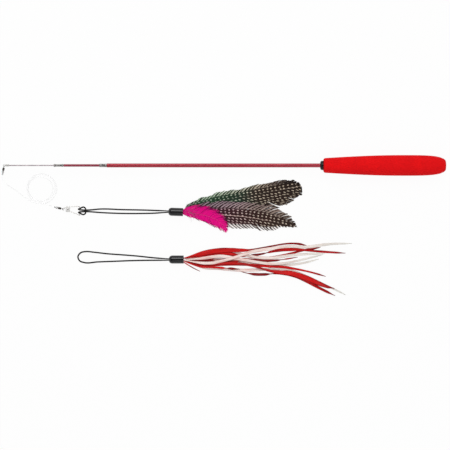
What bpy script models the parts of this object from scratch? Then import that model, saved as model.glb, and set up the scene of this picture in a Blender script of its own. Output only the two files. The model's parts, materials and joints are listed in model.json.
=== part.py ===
"""Telescopic cat teaser wand with a swivelled nylon line, a snap, a feather toy and a spare ribbon toy.

Everything lies on a table. Layout coordinates, in millimetres until they are scaled: X runs from the
tip of the rod towards the butt of the grip, Y = 0 is the wand's axis, Z = 0 is the table. The last
step shifts the whole so that the world's origin is under the centre of the object's box.
"""

import math

import bmesh
import bpy
from mathutils import Matrix, Vector

MM = 0.001

# Foam grip, turned, thickest three fifths of the way back
GRIP_LENGTH = 122.0 * MM
GRIP_FRONT_RADIUS = 7.4 * MM
GRIP_BELLY_RADIUS = 10.3 * MM
GRIP_BELLY_FROM_FRONT = 78.0 * MM
GRIP_EDGE_ROUNDING = 2.0 * MM
BUTT_FLAT_RADIUS = 4.6 * MM
BUTT_ALONG_POWER = 3.8
BUTT_ROUND_POWER = 3.6
BUTT_STATIONS = (0.3, 0.5, 0.66, 0.78, 0.87, 0.93, 0.97, 0.99, 1.0)
GRIP_FLANK_STEPS = 8
GRIP_SEGMENTS = 30

# Black plastic core that the tube is glued into, with the nose that shows in front of the foam
CORE_RADIUS = 4.2 * MM
FOAM_BEHIND_CORE = 10.0 * MM
CORE_BEHIND_TUBE = 7.3 * MM
NOSE_LENGTH = 3.3 * MM
NOSE_ROUNDED_SHARE = 0.6
NOSE_RADIUS = 4.7 * MM
NOSE_TIP_RADIUS = 2.7 * MM
FOAM_CLEARANCE = 0.3 * MM
FACE_GAP = 0.3 * MM

# Three telescopic sections: each tube has a turned collar in its mouth and a brass sleeve on its rear end
OUTER_TUBE_RADIUS = 2.0 * MM
OUTER_TUBE_WALL = 0.3 * MM
OUTER_TUBE_SHOWN = 213.0 * MM
OUTER_COLLAR_RADIUS = 1.6 * MM
OUTER_COLLAR_SHOWN = 7.5 * MM
OUTER_COLLAR_SHANK = 12.0 * MM
OUTER_COLLAR_BEAD = 0.9 * MM
OUTER_COLLAR_SLOPE = 0.3 * MM
MIDDLE_TUBE_RADIUS = 1.25 * MM
MIDDLE_TUBE_WALL = 0.3 * MM
MIDDLE_TUBE_SHOWN = 36.0 * MM
MIDDLE_TUBE_LENGTH = 300.0 * MM
MIDDLE_COLLAR_RADIUS = 1.4 * MM
MIDDLE_COLLAR_WAIST = 1.15 * MM
MIDDLE_COLLAR_SHOWN = 9.5 * MM
MIDDLE_COLLAR_SHANK = 10.0 * MM
MIDDLE_COLLAR_CHAMFER = 0.35 * MM
MIDDLE_COLLAR_BEAD = 1.6 * MM
MIDDLE_COLLAR_SLOPE = 0.4 * MM
ROD_RADIUS = 0.6 * MM
ROD_SHOWN = 47.0 * MM
ROD_LENGTH = 300.0 * MM
MIDDLE_SLEEVE_LENGTH = 14.0 * MM
INNER_SLEEVE_LENGTH = 10.0 * MM
SLIDING_CLEARANCE = 0.1 * MM
SLEEVE_SLIT_DEGREES = 24.0
PLUG_LENGTH = 8.0 * MM
PLUG_FLANGE = 1.5 * MM
TUBE_SEGMENTS = 20

# Ferrule and eye at the tip of the rod
FERRULE_RADIUS = 0.95 * MM
FERRULE_ON_ROD = 2.2 * MM
FERRULE_IN_FRONT = 1.1 * MM
FERRULE_END_WALL = 0.3 * MM
FERRULE_CHAMFER = 0.3 * MM
FERRULE_CRIMP = 0.2 * MM
STEM_RADIUS = 0.3 * MM
STEM_HEAD_RADIUS = 0.5 * MM
STEM_HEAD_LENGTH = 0.3 * MM
STEM_CLEARANCE = 0.12 * MM
TIP_EYE_RADIUS = 1.0 * MM
TIP_EYE_WIRE = 0.25 * MM

# Barrel swivels: a hollow barrel that holds the heads of two eyes
BARREL_LENGTH = 3.0 * MM
BARREL_RADIUS = 1.1 * MM
BARREL_BORE = 0.8 * MM
BARREL_END_WALL = 0.4 * MM
BARREL_SHOULDER = 0.3 * MM
BARREL_GROOVE = 0.15 * MM
SWIVEL_EYE_RADIUS = 0.85 * MM
SWIVEL_EYE_WIRE = 0.22 * MM
SWIVEL_NECK = 0.35 * MM
SWIVEL_HEAD_RADIUS = 0.62 * MM
SWIVEL_HEAD_LENGTH = 0.35 * MM
SWIVEL_HEAD_PLAY = 0.25 * MM
LINK_OVERLAP = 0.72 * MM
TIP_SWIVEL_HEADING = (-0.22, -0.92, -0.32)
SNAP_SWIVEL_HEADING = (0.973, -0.215, 0.07)
SNAP_SWIVEL_CENTRE = (52.0 * MM, -42.7 * MM, 1.75 * MM)

# Nylon line, tied at both ends and laid in a loose coil of three turns in two layers
LINE_RADIUS = 0.35 * MM
KNOT_RADIUS = 0.72 * MM
KNOT_LENGTH = 1.9 * MM
KNOT_TURNS = 7
KNOT_SWELL = 0.18
KNOT_GROOVE = 0.1 * MM
KNOT_LOOP_WIRE = 0.3 * MM
KNOT_LOOP_RADIUS = 0.66 * MM
LINE_UPPER_ROUTE = ((-5.2, -12.4, 5.2), (-3.4, -16.4, 3.2), (-0.2, -19.4, 1.7), (4.4, -22.4, 0.9),
                    (9.6, -26.0, 0.5), (14.4, -29.9, 0.36), (19.6, -33.6, 0.35), (24.6, -36.1, 0.35))
COIL_CENTRE = (34.6, -22.6)
COIL_OUTER_RADIUS = 15.6
COIL_PITCH = 2.6
COIL_TURNS = 3.0
COIL_START_DEGREES = 248.0
COIL_DRIFT = 0.5
COIL_LAYER_STEP = 1.2
COIL_CLIMB_TURNS = 0.5
COIL_POINTS_PER_TURN = 24
LINE_LOWER_ROUTE = ((39.3, -38.7, 1.3), (42.2, -39.9, 1.2))

# Wire snap: frame with eye, hinged gate, folded clasp with a rivet, hinge pin
SNAP_WIRE_RADIUS = 0.4 * MM
SNAP_HEIGHT = 2.05 * MM
SNAP_EYE_RADIUS = 1.0 * MM
SNAP_BAR_X = 72.3 * MM
SNAP_TOP_Y = -40.85 * MM
SNAP_CORNER_RADIUS = 1.3 * MM
SNAP_PIVOT = (72.0 * MM, -49.4 * MM)
SNAP_KNEE = (2.6 * MM, 1.75 * MM)
SNAP_SHOULDER = (7.4 * MM, 0.35 * MM)
SNAP_LUG_RADIUS = 0.85 * MM
SNAP_LUG_THICKNESS = 0.5 * MM
SNAP_LUG_GAP = 0.3 * MM
SNAP_PIN_RADIUS = 0.33 * MM
SNAP_PIN_CLEARANCE = 0.12 * MM
SNAP_PIN_HEAD_RADIUS = 0.68 * MM
SNAP_PIN_HEAD = 0.3 * MM
GATE_TIP = (59.3 * MM, -44.9 * MM)
GATE_STRAIGHT = 1.0 * MM
GATE_STEP_END = 3.0 * MM
LUG_SHARE = 0.8
CUT_OVERSHOOT = 1.0 * MM
CLASP_LOW = (58.3 * MM, -46.4 * MM)
CLASP_HIGH = (62.4 * MM, -40.55 * MM)
CLASP_SHEET = 0.3 * MM
CLASP_RIVET = (60.4 * MM, -43.6 * MM)
RIVET_RADIUS = 0.42 * MM
RIVET_HEAD_RADIUS = 0.8 * MM
RIVET_HEAD = 0.3 * MM
RIVET_CROWN = 0.7

# Elastic cord of both toys; the feather toy's loop is hitched round the bar of the snap
ELASTIC_RADIUS = 0.5 * MM
HITCH_CENTRE_Y = -45.3
HITCH_HALF = ((9.2, 0.85, 0.62), (6.8, 0.85, 0.6), (4.0, 0.9, 0.66), (1.8, 1.0, 0.8), (0.0, 1.2, 0.85),
              (-0.85, 1.42, 1.2), (-1.2, 1.65, 2.05), (-0.85, 1.88, 2.9), (0.0, 2.1, 3.25),
              (1.7, 2.6, 3.15), (3.8, 3.35, 2.7), (5.8, 3.2, 2.3), (7.1, 1.9, 2.15), (7.6, 0.0, 2.2))
STRAND_UPPER_ROUTE = ((81.9, -44.45, 0.62), (92.3, -43.5, 0.5), (115.5, -44.1, 0.5), (136.0, -44.5, 0.9),
                      (148.0, -44.9, 2.3), (155.5, -45.2, 3.6), (160.4, -45.43, 4.08), (162.6, -45.5, 4.1))
STRAND_LOWER_ROUTE = ((81.9, -46.15, 0.62), (93.0, -47.0, 0.5), (115.5, -47.9, 0.5), (136.0, -47.9, 0.9),
                      (148.0, -47.6, 2.3), (155.5, -47.1, 3.6), (160.4, -46.83, 4.08), (162.6, -46.8, 4.1))
LOOP_ROUTE = ((163.2, -93.4, 4.1), (160.8, -93.4, 4.05), (154.0, -93.0, 3.2), (143.0, -92.1, 1.3),
              (130.0, -90.7, 0.5), (116.4, -89.6, 0.5), (99.0, -88.3, 0.5), (86.0, -86.8, 0.5),
              (78.4, -86.2, 0.5), (73.0, -87.4, 0.5), (70.3, -91.4, 0.5), (72.2, -95.6, 0.5),
              (76.6, -97.2, 0.5), (90.0, -96.6, 0.5), (108.0, -95.9, 0.5), (124.0, -95.3, 0.5),
              (138.0, -95.0, 0.9), (149.0, -94.9, 2.5), (156.0, -94.85, 3.7), (160.8, -94.8, 4.08),
              (163.2, -94.8, 4.1))
ELASTIC_SPACING = 2.9

# Moulded caps that hold the feathers and the ribbons
CAP_RADIUS = 4.1 * MM
CAP_LENGTH = 14.6 * MM
CAP_WALL = 0.8 * MM
CAP_DOME = 3.4 * MM
CAP_HOLE = 1.7 * MM
CAP_LIP = 0.25 * MM
CAP_SEGMENTS = 20
FEATHER_CAP_AT = (161.4 * MM, -46.1 * MM)
FEATHER_CAP_HEADING = -2.0
RIBBON_CAP_AT = (162.0 * MM, -94.1 * MM)
RIBBON_CAP_HEADING = 0.0
CORD_KNOT_RADIUS = 1.9 * MM
CORD_KNOT_LENGTH = 2.8 * MM
CORD_KNOT_FROM_APEX = 1.9 * MM
BINDING_RADIUS = 2.9 * MM
BINDING_LENGTH = 5.6 * MM
BINDING_TURNS = 5
BINDING_TURN_DEPTH = 0.25 * MM

# Feathers: rachis from the binding to the tip, half widths of the vane on either side, tooth pitch
VANE_THICKNESS = 0.6 * MM
RACHIS_RIDGE = 0.5 * MM
RACHIS_HALF_WIDTH = 0.6
BARB_SWEEP = 0.55
CLUMP_PITCH = 4.2
CLUMP_NOTCH = 0.12
CLUMP_LEAST_WIDTH = 2.0
VANE_CAMBER = 0.06
GREEN_RACHIS = ((173.4, -46.6, 2.9), (185.0, -42.0, 2.4), (208.0, -36.5, 1.5), (233.0, -31.5, 1.2),
                (258.0, -27.1, 1.2), (278.0, -23.5, 1.2), (295.0, -20.3, 1.0))
GREEN_UPPER = ((0.0, 0.6), (0.09, 0.9), (0.16, 4.5), (0.24, 7.5), (0.4, 9.8), (0.8, 10.2), (0.92, 7.6), (1.0, 0.6))
GREEN_LOWER = ((0.0, 0.6), (0.09, 0.9), (0.16, 4.0), (0.3, 9.0), (0.55, 13.5), (0.82, 15.8), (0.92, 11.6), (1.0, 0.6))
PINK_RACHIS = ((173.4, -46.6, 4.1), (198.9, -48.5, 3.4), (223.8, -50.0, 3.0), (239.0, -51.4, 2.9),
               (253.5, -53.8, 2.8), (273.0, -57.7, 2.7), (290.8, -61.9, 2.5))
PINK_UPPER = ((0.0, 0.6), (0.08, 0.9), (0.15, 6.0), (0.28, 13.4), (0.55, 15.2), (0.76, 15.4), (0.9, 9.8), (1.0, 0.6))
PINK_LOWER = ((0.0, 0.6), (0.08, 0.9), (0.15, 4.0), (0.28, 9.5), (0.45, 11.8), (0.74, 10.8), (0.86, 5.0), (1.0, 0.6))
HACKLE_RACHIS = ((173.4, -46.6, 5.3), (188.0, -48.0, 5.0), (203.0, -51.5, 4.8), (214.0, -57.4, 4.6),
                 (220.3, -66.4, 4.4))
HACKLE_UPPER = ((0.0, 0.6), (0.06, 1.0), (0.12, 6.2), (0.24, 8.8), (0.5, 11.4), (0.75, 9.6), (0.92, 5.0), (1.0, 0.6))
HACKLE_LOWER = ((0.0, 0.6), (0.06, 1.0), (0.12, 3.8), (0.35, 6.6), (0.6, 8.0), (0.8, 6.0), (0.92, 3.0), (1.0, 0.6))

# Ribbons: each has a layer, counted up from the table, a place across the cap's mouth, and a route of
# (X, Y, width) points: a twisted ribbon looks narrower where it stands on edge
RIBBON_THICKNESS = 0.35 * MM
RIBBON_ROOT_HALF_WIDTH = 0.52
RIBBON_TIP_HALF_WIDTH = 0.25
RIBBON_LAYER_HEIGHT = 1.0
RIBBON_FIRST_LAYER = 0.75
RIBBON_MIDDLE_LAYER = 3.5
RIBBON_ROOT_LAYER_STEP = 0.85
RIBBON_ROOT_PITCH = 1.45
RIBBON_MOUTH = 4.2
RIBBON_FLARE_START = 7.0
RIBBON_FLARE = 18.0
RIBBON_TAPER = 6.0
RIBBON_WAVE = 0.35
RIBBON_WAVE_LENGTH = 46.0
RIBBON_STATION = 7.0
RED, PEARL = "red", "pearl"
RIBBONS = (
    (RED, 5, 1, ((183.0, -90.8, 4.0), (193.0, -88.4, 4.6), (204.0, -86.1, 5.0), (215.0, -84.9, 5.2),
                 (225.0, -84.7, 4.6), (234.0, -84.8, 3.6), (243.0, -84.6, 2.2), (251.0, -83.2, 1.6),
                 (259.0, -81.7, 1.5), (268.0, -80.0, 1.5), (277.0, -78.5, 1.6), (286.0, -78.0, 1.8),
                 (293.0, -78.6, 2.2), (300.0, -80.1, 2.0))),
    (RED, 4, 1, ((183.0, -91.9, 2.8), (193.0, -90.5, 3.2), (204.0, -88.9, 3.6), (214.0, -87.8, 3.8),
                 (222.0, -88.2, 3.6), (228.0, -89.2, 2.6), (235.0, -90.2, 1.2))),
    (RED, 4, 0, ((182.0, -94.9, 1.8), (193.0, -95.1, 2.2), (204.0, -95.3, 2.2), (216.0, -96.4, 2.4),
                 (228.0, -96.1, 2.0), (239.0, -94.7, 1.6), (249.0, -94.9, 1.8), (259.0, -95.4, 1.9),
                 (269.0, -95.0, 1.7), (280.0, -93.5, 1.4), (291.0, -91.7, 1.0))),
    (RED, 2, 1, ((183.0, -92.5, 2.4), (201.0, -90.9, 3.0), (221.0, -90.3, 3.0), (237.0, -90.3, 2.6),
                 (247.0, -89.8, 2.4), (256.0, -88.4, 1.6), (264.0, -86.4, 2.4), (274.0, -84.6, 3.4),
                 (284.0, -84.0, 3.6), (294.0, -84.3, 2.4), (303.0, -85.2, 2.2), (316.0, -86.3, 2.4),
                 (328.0, -87.1, 2.0), (339.0, -87.8, 1.0))),
    (RED, 1, 1, ((183.0, -93.9, 2.2), (205.0, -94.3, 2.4), (233.0, -93.7, 2.4), (255.0, -92.9, 2.0),
                 (268.0, -91.1, 1.4), (278.0, -89.4, 2.0), (287.0, -87.4, 2.2), (296.0, -85.1, 2.0),
                 (305.0, -83.4, 2.6), (314.0, -82.0, 2.0))),
    (RED, 4, -1, ((183.0, -97.3, 2.0), (193.0, -99.4, 2.2), (205.0, -99.9, 2.0), (217.0, -99.4, 2.2),
                  (231.0, -99.1, 2.4), (243.0, -99.5, 2.4), (255.0, -100.4, 2.8), (267.0, -101.0, 2.8),
                  (278.0, -101.8, 2.6), (289.0, -103.6, 2.2), (301.0, -106.1, 1.8),
                  (311.0, -108.7, 1.8), (319.0, -111.1, 1.2))),
    (RED, 5, -1, ((183.0, -96.7, 1.8), (197.0, -98.4, 2.2), (211.0, -98.1, 2.4), (225.0, -97.8, 2.6),
                  (237.0, -98.7, 2.6), (247.0, -100.7, 2.4), (255.0, -103.2, 2.0), (263.0, -105.5, 2.6),
                  (273.0, -106.8, 4.0), (283.0, -107.7, 4.8), (293.0, -110.3, 5.0),
                  (303.0, -114.0, 5.0), (313.0, -118.5, 4.4), (321.0, -121.5, 3.0),
                  (328.0, -123.1, 1.4))),
    (RED, 2, -1, ((183.0, -97.9, 2.0), (197.0, -101.3, 2.4), (209.0, -102.9, 2.2), (221.0, -104.2, 1.8),
                  (231.0, -105.4, 1.2), (240.0, -107.8, 1.2), (248.0, -109.0, 2.4),
                  (258.0, -109.1, 2.2), (269.0, -108.3, 2.0), (279.0, -108.9, 2.6),
                  (289.0, -111.1, 3.2), (299.0, -115.5, 3.2), (309.0, -120.8, 3.0),
                  (319.0, -125.9, 2.6), (328.5, -130.5, 1.0))),
    (RED, 6, -1, ((183.0, -98.1, 1.8), (193.0, -101.0, 2.0), (205.0, -101.7, 2.0), (215.0, -102.4, 2.2),
                  (224.0, -103.1, 2.4), (233.0, -103.7, 1.6))),
    (PEARL, 6, 0, ((183.0, -95.7, 2.2), (190.0, -96.9, 2.6), (198.0, -97.7, 3.0), (206.0, -97.4, 3.0),
                   (214.0, -95.8, 2.8), (222.0, -93.6, 2.8), (230.0, -91.1, 2.8), (238.0, -88.4, 3.0),
                   (245.0, -86.2, 3.2), (253.0, -84.7, 3.2), (263.0, -83.3, 3.2), (274.0, -81.6, 2.8),
                   (285.0, -81.0, 2.6), (295.0, -81.5, 2.8), (305.0, -81.1, 3.0), (315.0, -79.5, 2.8),
                   (327.0, -78.3, 2.2), (339.0, -78.1, 1.6), (345.0, -78.0, 1.0))),
    (PEARL, 5, 0, ((182.0, -94.1, 2.2), (190.0, -93.4, 2.6), (198.0, -92.6, 3.0), (206.0, -91.4, 3.2),
                   (214.0, -90.7, 3.2), (222.0, -91.6, 3.0), (230.0, -93.2, 3.0), (239.0, -94.8, 2.8),
                   (249.0, -96.5, 2.8), (259.0, -97.9, 2.8), (269.0, -98.4, 2.6), (281.0, -97.2, 2.2),
                   (293.0, -94.8, 2.0), (305.0, -91.9, 1.8), (316.0, -89.2, 1.2))),
    (PEARL, 3, 1, ((183.0, -93.1, 2.2), (198.0, -91.1, 2.6), (213.0, -88.7, 2.4), (223.0, -87.5, 2.0),
                   (230.0, -87.8, 2.6), (237.0, -89.1, 2.8), (244.0, -90.9, 2.8), (252.0, -92.2, 3.0),
                   (261.0, -92.7, 3.0), (271.0, -91.9, 2.6), (283.0, -90.3, 2.2), (295.0, -89.0, 2.2),
                   (307.0, -88.4, 2.2), (318.0, -88.3, 1.4))),
    (PEARL, 3, -1, ((183.0, -97.5, 2.0), (190.0, -100.4, 2.2), (199.0, -102.7, 2.6),
                    (209.0, -103.1, 2.6), (221.0, -104.0, 3.0), (231.0, -104.7, 3.2),
                    (240.0, -104.8, 3.0), (249.0, -104.7, 3.0), (258.0, -104.1, 2.8),
                    (268.0, -103.3, 2.6), (278.0, -103.7, 2.2), (289.0, -106.3, 2.0),
                    (301.0, -111.1, 1.8), (313.0, -116.7, 1.6), (325.0, -122.7, 1.6),
                    (333.0, -126.5, 1.6), (339.0, -129.7, 1.0))),
    (PEARL, 3, 0, ((183.0, -95.5, 2.0), (199.0, -96.5, 2.4), (217.0, -96.7, 2.4), (233.0, -96.9, 2.4),
                   (247.0, -98.1, 2.4), (259.0, -99.4, 2.4), (273.0, -99.9, 2.4), (287.0, -99.1, 2.2),
                   (299.0, -97.1, 2.0), (312.0, -93.7, 1.0))),
    (PEARL, 2, 0, ((183.0, -95.1, 2.0), (205.0, -95.3, 2.4), (229.0, -94.7, 2.4), (249.0, -93.9, 2.4),
                   (263.0, -92.7, 2.4), (275.0, -90.9, 2.4), (287.0, -89.4, 2.2), (296.0, -88.7, 2.0),
                   (305.0, -88.4, 1.6))),
)


def clear_scene():
    """Remove every object that the file starts with."""
    for item in list(bpy.data.objects):
        bpy.data.objects.remove(item, do_unlink=True)


def linear(value):
    """Turn one sRGB channel from 0 to 1 into its linear value."""
    return value / 12.92 if value <= 0.04045 else ((value + 0.055) / 1.055) ** 2.4


def finish(name, colour, roughness, metallic=0.0):
    """Make a plain Principled material from an sRGB hex colour."""
    made = bpy.data.materials.new(name)
    made.use_nodes = True
    shader = made.node_tree.nodes["Principled BSDF"]
    channels = [linear(int(colour[i:i + 2], 16) / 255.0) for i in (0, 2, 4)]
    shader.inputs["Base Color"].default_value = (*channels, 1.0)
    shader.inputs["Roughness"].default_value = roughness
    shader.inputs["Metallic"].default_value = metallic
    made.diffuse_color = (*channels, 1.0)
    return made


class Frame:
    """An empty that a sub-assembly hangs on, with its place and turn in layout coordinates."""

    def __init__(self, name, at, parent=None, turn=None):
        self.matrix = Matrix.Translation(Vector(at)) @ (turn or Matrix.Identity(4))
        self.empty = bpy.data.objects.new(name, None)
        self.empty.empty_display_size = 5.0 * MM
        bpy.context.scene.collection.objects.link(self.empty)
        local = self.matrix
        if parent:
            self.empty.parent = parent.empty
            local = parent.matrix.inverted() @ self.matrix
        self.empty.location = local.to_translation()
        self.empty.rotation_euler = local.to_euler()

    def local(self, points):
        """Turn layout points into this frame's own coordinates."""
        inverse = self.matrix.inverted()
        return [inverse @ Vector(point) for point in points]

    def hang(self, name, data, material):
        """Make a named object from mesh or curve data and hang it on this frame."""
        made = bpy.data.objects.new(name, data)
        bpy.context.scene.collection.objects.link(made)
        made.parent = self.empty
        data.materials.append(material)
        if isinstance(data, bpy.types.Mesh):
            data.shade_smooth()
            data.set_sharp_from_angle(angle=math.radians(35.0))
        return made


def along(heading, up=(0.0, 0.0, 1.0)):
    """Give the turn whose Z axis points along a heading and whose Y axis is as near up as it can be."""
    z_axis = Vector(heading).normalized()
    y_axis = (Vector(up) - z_axis * Vector(up).dot(z_axis)).normalized()
    x_axis = y_axis.cross(z_axis)
    return Matrix((x_axis, y_axis, z_axis)).transposed().to_4x4()


def scaled(points):
    """Turn route points from millimetres into metres."""
    return [Vector(point) * MM for point in points]


def smooth_route(points, spacing):
    """Read evenly spaced points from a smooth curve through the route's own points."""
    knots = [Vector(point) for point in points]
    spans = [(b - a).length for a, b in zip(knots, knots[1:])]
    slopes = [(b - a) / span for a, b, span in zip(knots, knots[1:], spans)]
    tangents = [slopes[0]]
    for i in range(1, len(knots) - 1):
        before, after = spans[i - 1], spans[i]
        tangents.append((slopes[i - 1] * after + slopes[i] * before) / (before + after))
    tangents.append(slopes[-1])
    fine = []
    for i, span in enumerate(spans):
        for step in range(24):
            t = step / 24.0
            fine.append(knots[i] * (2.0 * t ** 3 - 3.0 * t * t + 1.0)
                        + tangents[i] * span * (t ** 3 - 2.0 * t * t + t)
                        + knots[i + 1] * (3.0 * t * t - 2.0 * t ** 3)
                        + tangents[i + 1] * span * (t ** 3 - t * t))
    fine.append(knots[-1])
    reach = [0.0]
    for a, b in zip(fine, fine[1:]):
        reach.append(reach[-1] + (b - a).length)
    count = max(2, round(reach[-1] / spacing))
    even, j = [], 0
    for k in range(count + 1):
        target = reach[-1] * k / count
        while j < len(fine) - 2 and reach[j + 1] < target:
            j += 1
        share = (target - reach[j]) / max(reach[j + 1] - reach[j], 1e-9)
        even.append(fine[j].lerp(fine[j + 1], min(share, 1.0)))
    return even


def eased(table, t):
    """Read a value at t from a short table of (place, value) pairs, with smooth steps between them."""
    for (t0, v0), (t1, v1) in zip(table, table[1:]):
        if t <= t1:
            share = (t - t0) / (t1 - t0)
            return v0 + (v1 - v0) * share * share * (3.0 - 2.0 * share)
    return table[-1][1]


def wire_curve(name, points, radius, closed=False, rounding=2):
    """Make a round wire or cord as a poly curve with filled caps."""
    curve = bpy.data.curves.new(name, "CURVE")
    curve.dimensions = "3D"
    curve.bevel_depth = radius
    curve.bevel_resolution = rounding
    curve.use_fill_caps = True
    spline = curve.splines.new("POLY")
    spline.points.add(len(points) - 1)
    for slot, point in zip(spline.points, points):
        slot.co = (*point, 1.0)
    spline.use_cyclic_u = closed
    spline.use_smooth = True
    return curve


def as_mesh(name, curve):
    """Turn a curve into a mesh of its own with merged ends."""
    holder = bpy.data.objects.new(name, curve)
    bpy.context.scene.collection.objects.link(holder)
    graph = bpy.context.evaluated_depsgraph_get()
    mesh = bpy.data.meshes.new_from_object(holder.evaluated_get(graph))
    bpy.data.objects.remove(holder, do_unlink=True)
    shape = bmesh.new()
    shape.from_mesh(mesh)
    bmesh.ops.remove_doubles(shape, verts=shape.verts, dist=1e-7)
    bmesh.ops.recalc_face_normals(shape, faces=shape.faces)
    shape.to_mesh(mesh)
    shape.free()
    mesh.name = name
    return mesh


def ring(centre, first, second, radius, wire, points=14):
    """Make a closed round ring of wire in the plane of two unit vectors."""
    a, b = Vector(first), Vector(second)
    middle = Vector(centre)
    turn = [2.0 * math.pi * i / points for i in range(points)]
    return as_mesh("ring", wire_curve("ring", [middle + (a * math.cos(t) + b * math.sin(t)) * radius for t in turn],
                                      wire, closed=True, rounding=1))


def turned(name, outline, segments=TUBE_SEGMENTS, axis="X", sweep=360.0):
    """Spin an outline of (place along the axis, radius) points round the axis into a closed solid.

    An outline whose ends lie on the axis makes a solid piece, any other is closed and makes a hollow one.
    """
    solid = outline[0][1] < 1e-9 and outline[-1][1] < 1e-9
    along_x = axis == "X"
    shape = bmesh.new()
    corners = [shape.verts.new((a, 0.0, r) if along_x else (r, 0.0, a)) for a, r in outline]
    edges = [shape.edges.new(pair) for pair in zip(corners, corners[1:])]
    if not solid:
        edges.append(shape.edges.new((corners[-1], corners[0])))
    full = sweep >= 360.0
    about = (1.0, 0.0, 0.0) if along_x else (0.0, 0.0, 1.0)
    made = bmesh.ops.spin(shape, geom=corners + edges, cent=(0.0, 0.0, 0.0), axis=about,
                          angle=math.radians(sweep), steps=segments, use_merge=full)
    if not full:
        shape.faces.new(corners)
        far_edges = [item for item in made["geom_last"] if isinstance(item, bmesh.types.BMEdge)]
        bmesh.ops.edgeloop_fill(shape, edges=far_edges)
    bmesh.ops.remove_doubles(shape, verts=shape.verts, dist=1e-7)
    bmesh.ops.recalc_face_normals(shape, faces=shape.faces)
    mesh = bpy.data.meshes.new(name)
    shape.to_mesh(mesh)
    shape.free()
    return mesh


def arc(centre, radius, start, end, steps):
    """Give points on a quarter or part circle as (along, radius) pairs; a radius may be a pair."""
    across, up = radius if isinstance(radius, tuple) else (radius, radius)
    angles = [math.radians(start + (end - start) * i / steps) for i in range(steps + 1)]
    return [(centre[0] + across * math.cos(a), centre[1] + up * math.sin(a)) for a in angles]


def combined(name, base, others, operation="UNION"):
    """Fuse or cut a mesh with others and give the new mesh."""
    holder = bpy.data.objects.new(name, base)
    bpy.context.scene.collection.objects.link(holder)
    tools = []
    for other in others:
        tool = bpy.data.objects.new("tool", other)
        bpy.context.scene.collection.objects.link(tool)
        tools.append(tool)
        step = holder.modifiers.new("join", "BOOLEAN")
        step.operation = operation
        step.object = tool
    graph = bpy.context.evaluated_depsgraph_get()
    mesh = bpy.data.meshes.new_from_object(holder.evaluated_get(graph))
    for item in [holder] + tools:
        bpy.data.objects.remove(item, do_unlink=True)
    mesh.name = name
    return mesh


def moved(mesh, matrix):
    """Apply a matrix to a mesh and give it back."""
    mesh.transform(matrix)
    return mesh


def block(low, high):
    """Make a box mesh between two corners."""
    shape = bmesh.new()
    size = Vector(high) - Vector(low)
    middle = (Vector(high) + Vector(low)) / 2.0
    bmesh.ops.create_cube(shape, size=1.0, matrix=Matrix.Translation(middle) @ Matrix.Diagonal((*size, 1.0)))
    mesh = bpy.data.meshes.new("block")
    shape.to_mesh(mesh)
    shape.free()
    return mesh


def slab(name, rows, thicknesses):
    """Give a sheet of point rows its thickness and close it: one thickness for each point of a row."""
    shape = bmesh.new()
    half = [Vector((0.0, 0.0, t / 2.0)) for t in thicknesses]
    top = [[shape.verts.new(p + h) for p, h in zip(row, half)] for row in rows]
    under = [[shape.verts.new(p - h) for p, h in zip(row, half)] for row in rows]
    last = len(thicknesses) - 1
    for i in range(len(rows) - 1):
        for j in range(last):
            shape.faces.new((top[i][j], top[i][j + 1], top[i + 1][j + 1], top[i + 1][j]))
            shape.faces.new((under[i][j], under[i + 1][j], under[i + 1][j + 1], under[i][j + 1]))
        for j in (0, last):
            shape.faces.new((top[i][j], top[i + 1][j], under[i + 1][j], under[i][j]))
    for i in (0, len(rows) - 1):
        for j in range(last):
            shape.faces.new((top[i][j], top[i][j + 1], under[i][j + 1], under[i][j]))
    bmesh.ops.recalc_face_normals(shape, faces=shape.faces)
    mesh = bpy.data.meshes.new(name)
    shape.to_mesh(mesh)
    shape.free()
    return mesh


def grip_outline(front):
    """Give the foam grip's outline, from the end of its blind bore round the front face to the butt."""
    bore = CORE_RADIUS + FOAM_CLEARANCE
    points = [(front, bore)]
    points += arc((front + GRIP_EDGE_ROUNDING, GRIP_FRONT_RADIUS - GRIP_EDGE_ROUNDING), GRIP_EDGE_ROUNDING,
                  180.0, 90.0, 4)
    flank = GRIP_BELLY_FROM_FRONT - GRIP_EDGE_ROUNDING
    rise = GRIP_BELLY_RADIUS - GRIP_FRONT_RADIUS
    for i in range(1, GRIP_FLANK_STEPS + 1):
        share = i / GRIP_FLANK_STEPS
        points.append((front + GRIP_EDGE_ROUNDING + flank * share,
                       GRIP_FRONT_RADIUS + rise * math.sin(math.pi / 2.0 * share)))
    reach = GRIP_LENGTH - GRIP_BELLY_FROM_FRONT
    top = (1.0 - (BUTT_FLAT_RADIUS / GRIP_BELLY_RADIUS) ** BUTT_ROUND_POWER) ** (1.0 / BUTT_ALONG_POWER)
    for share in BUTT_STATIONS:
        place = share * top
        radius = GRIP_BELLY_RADIUS * (1.0 - place ** BUTT_ALONG_POWER) ** (1.0 / BUTT_ROUND_POWER)
        points.append((front + GRIP_BELLY_FROM_FRONT + reach * share, radius))
    butt = front + GRIP_LENGTH
    bore_end = butt - FOAM_BEHIND_CORE + FACE_GAP
    return [(bore_end, 0.0), (bore_end, bore)] + points + [(butt, 0.0)]


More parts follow.
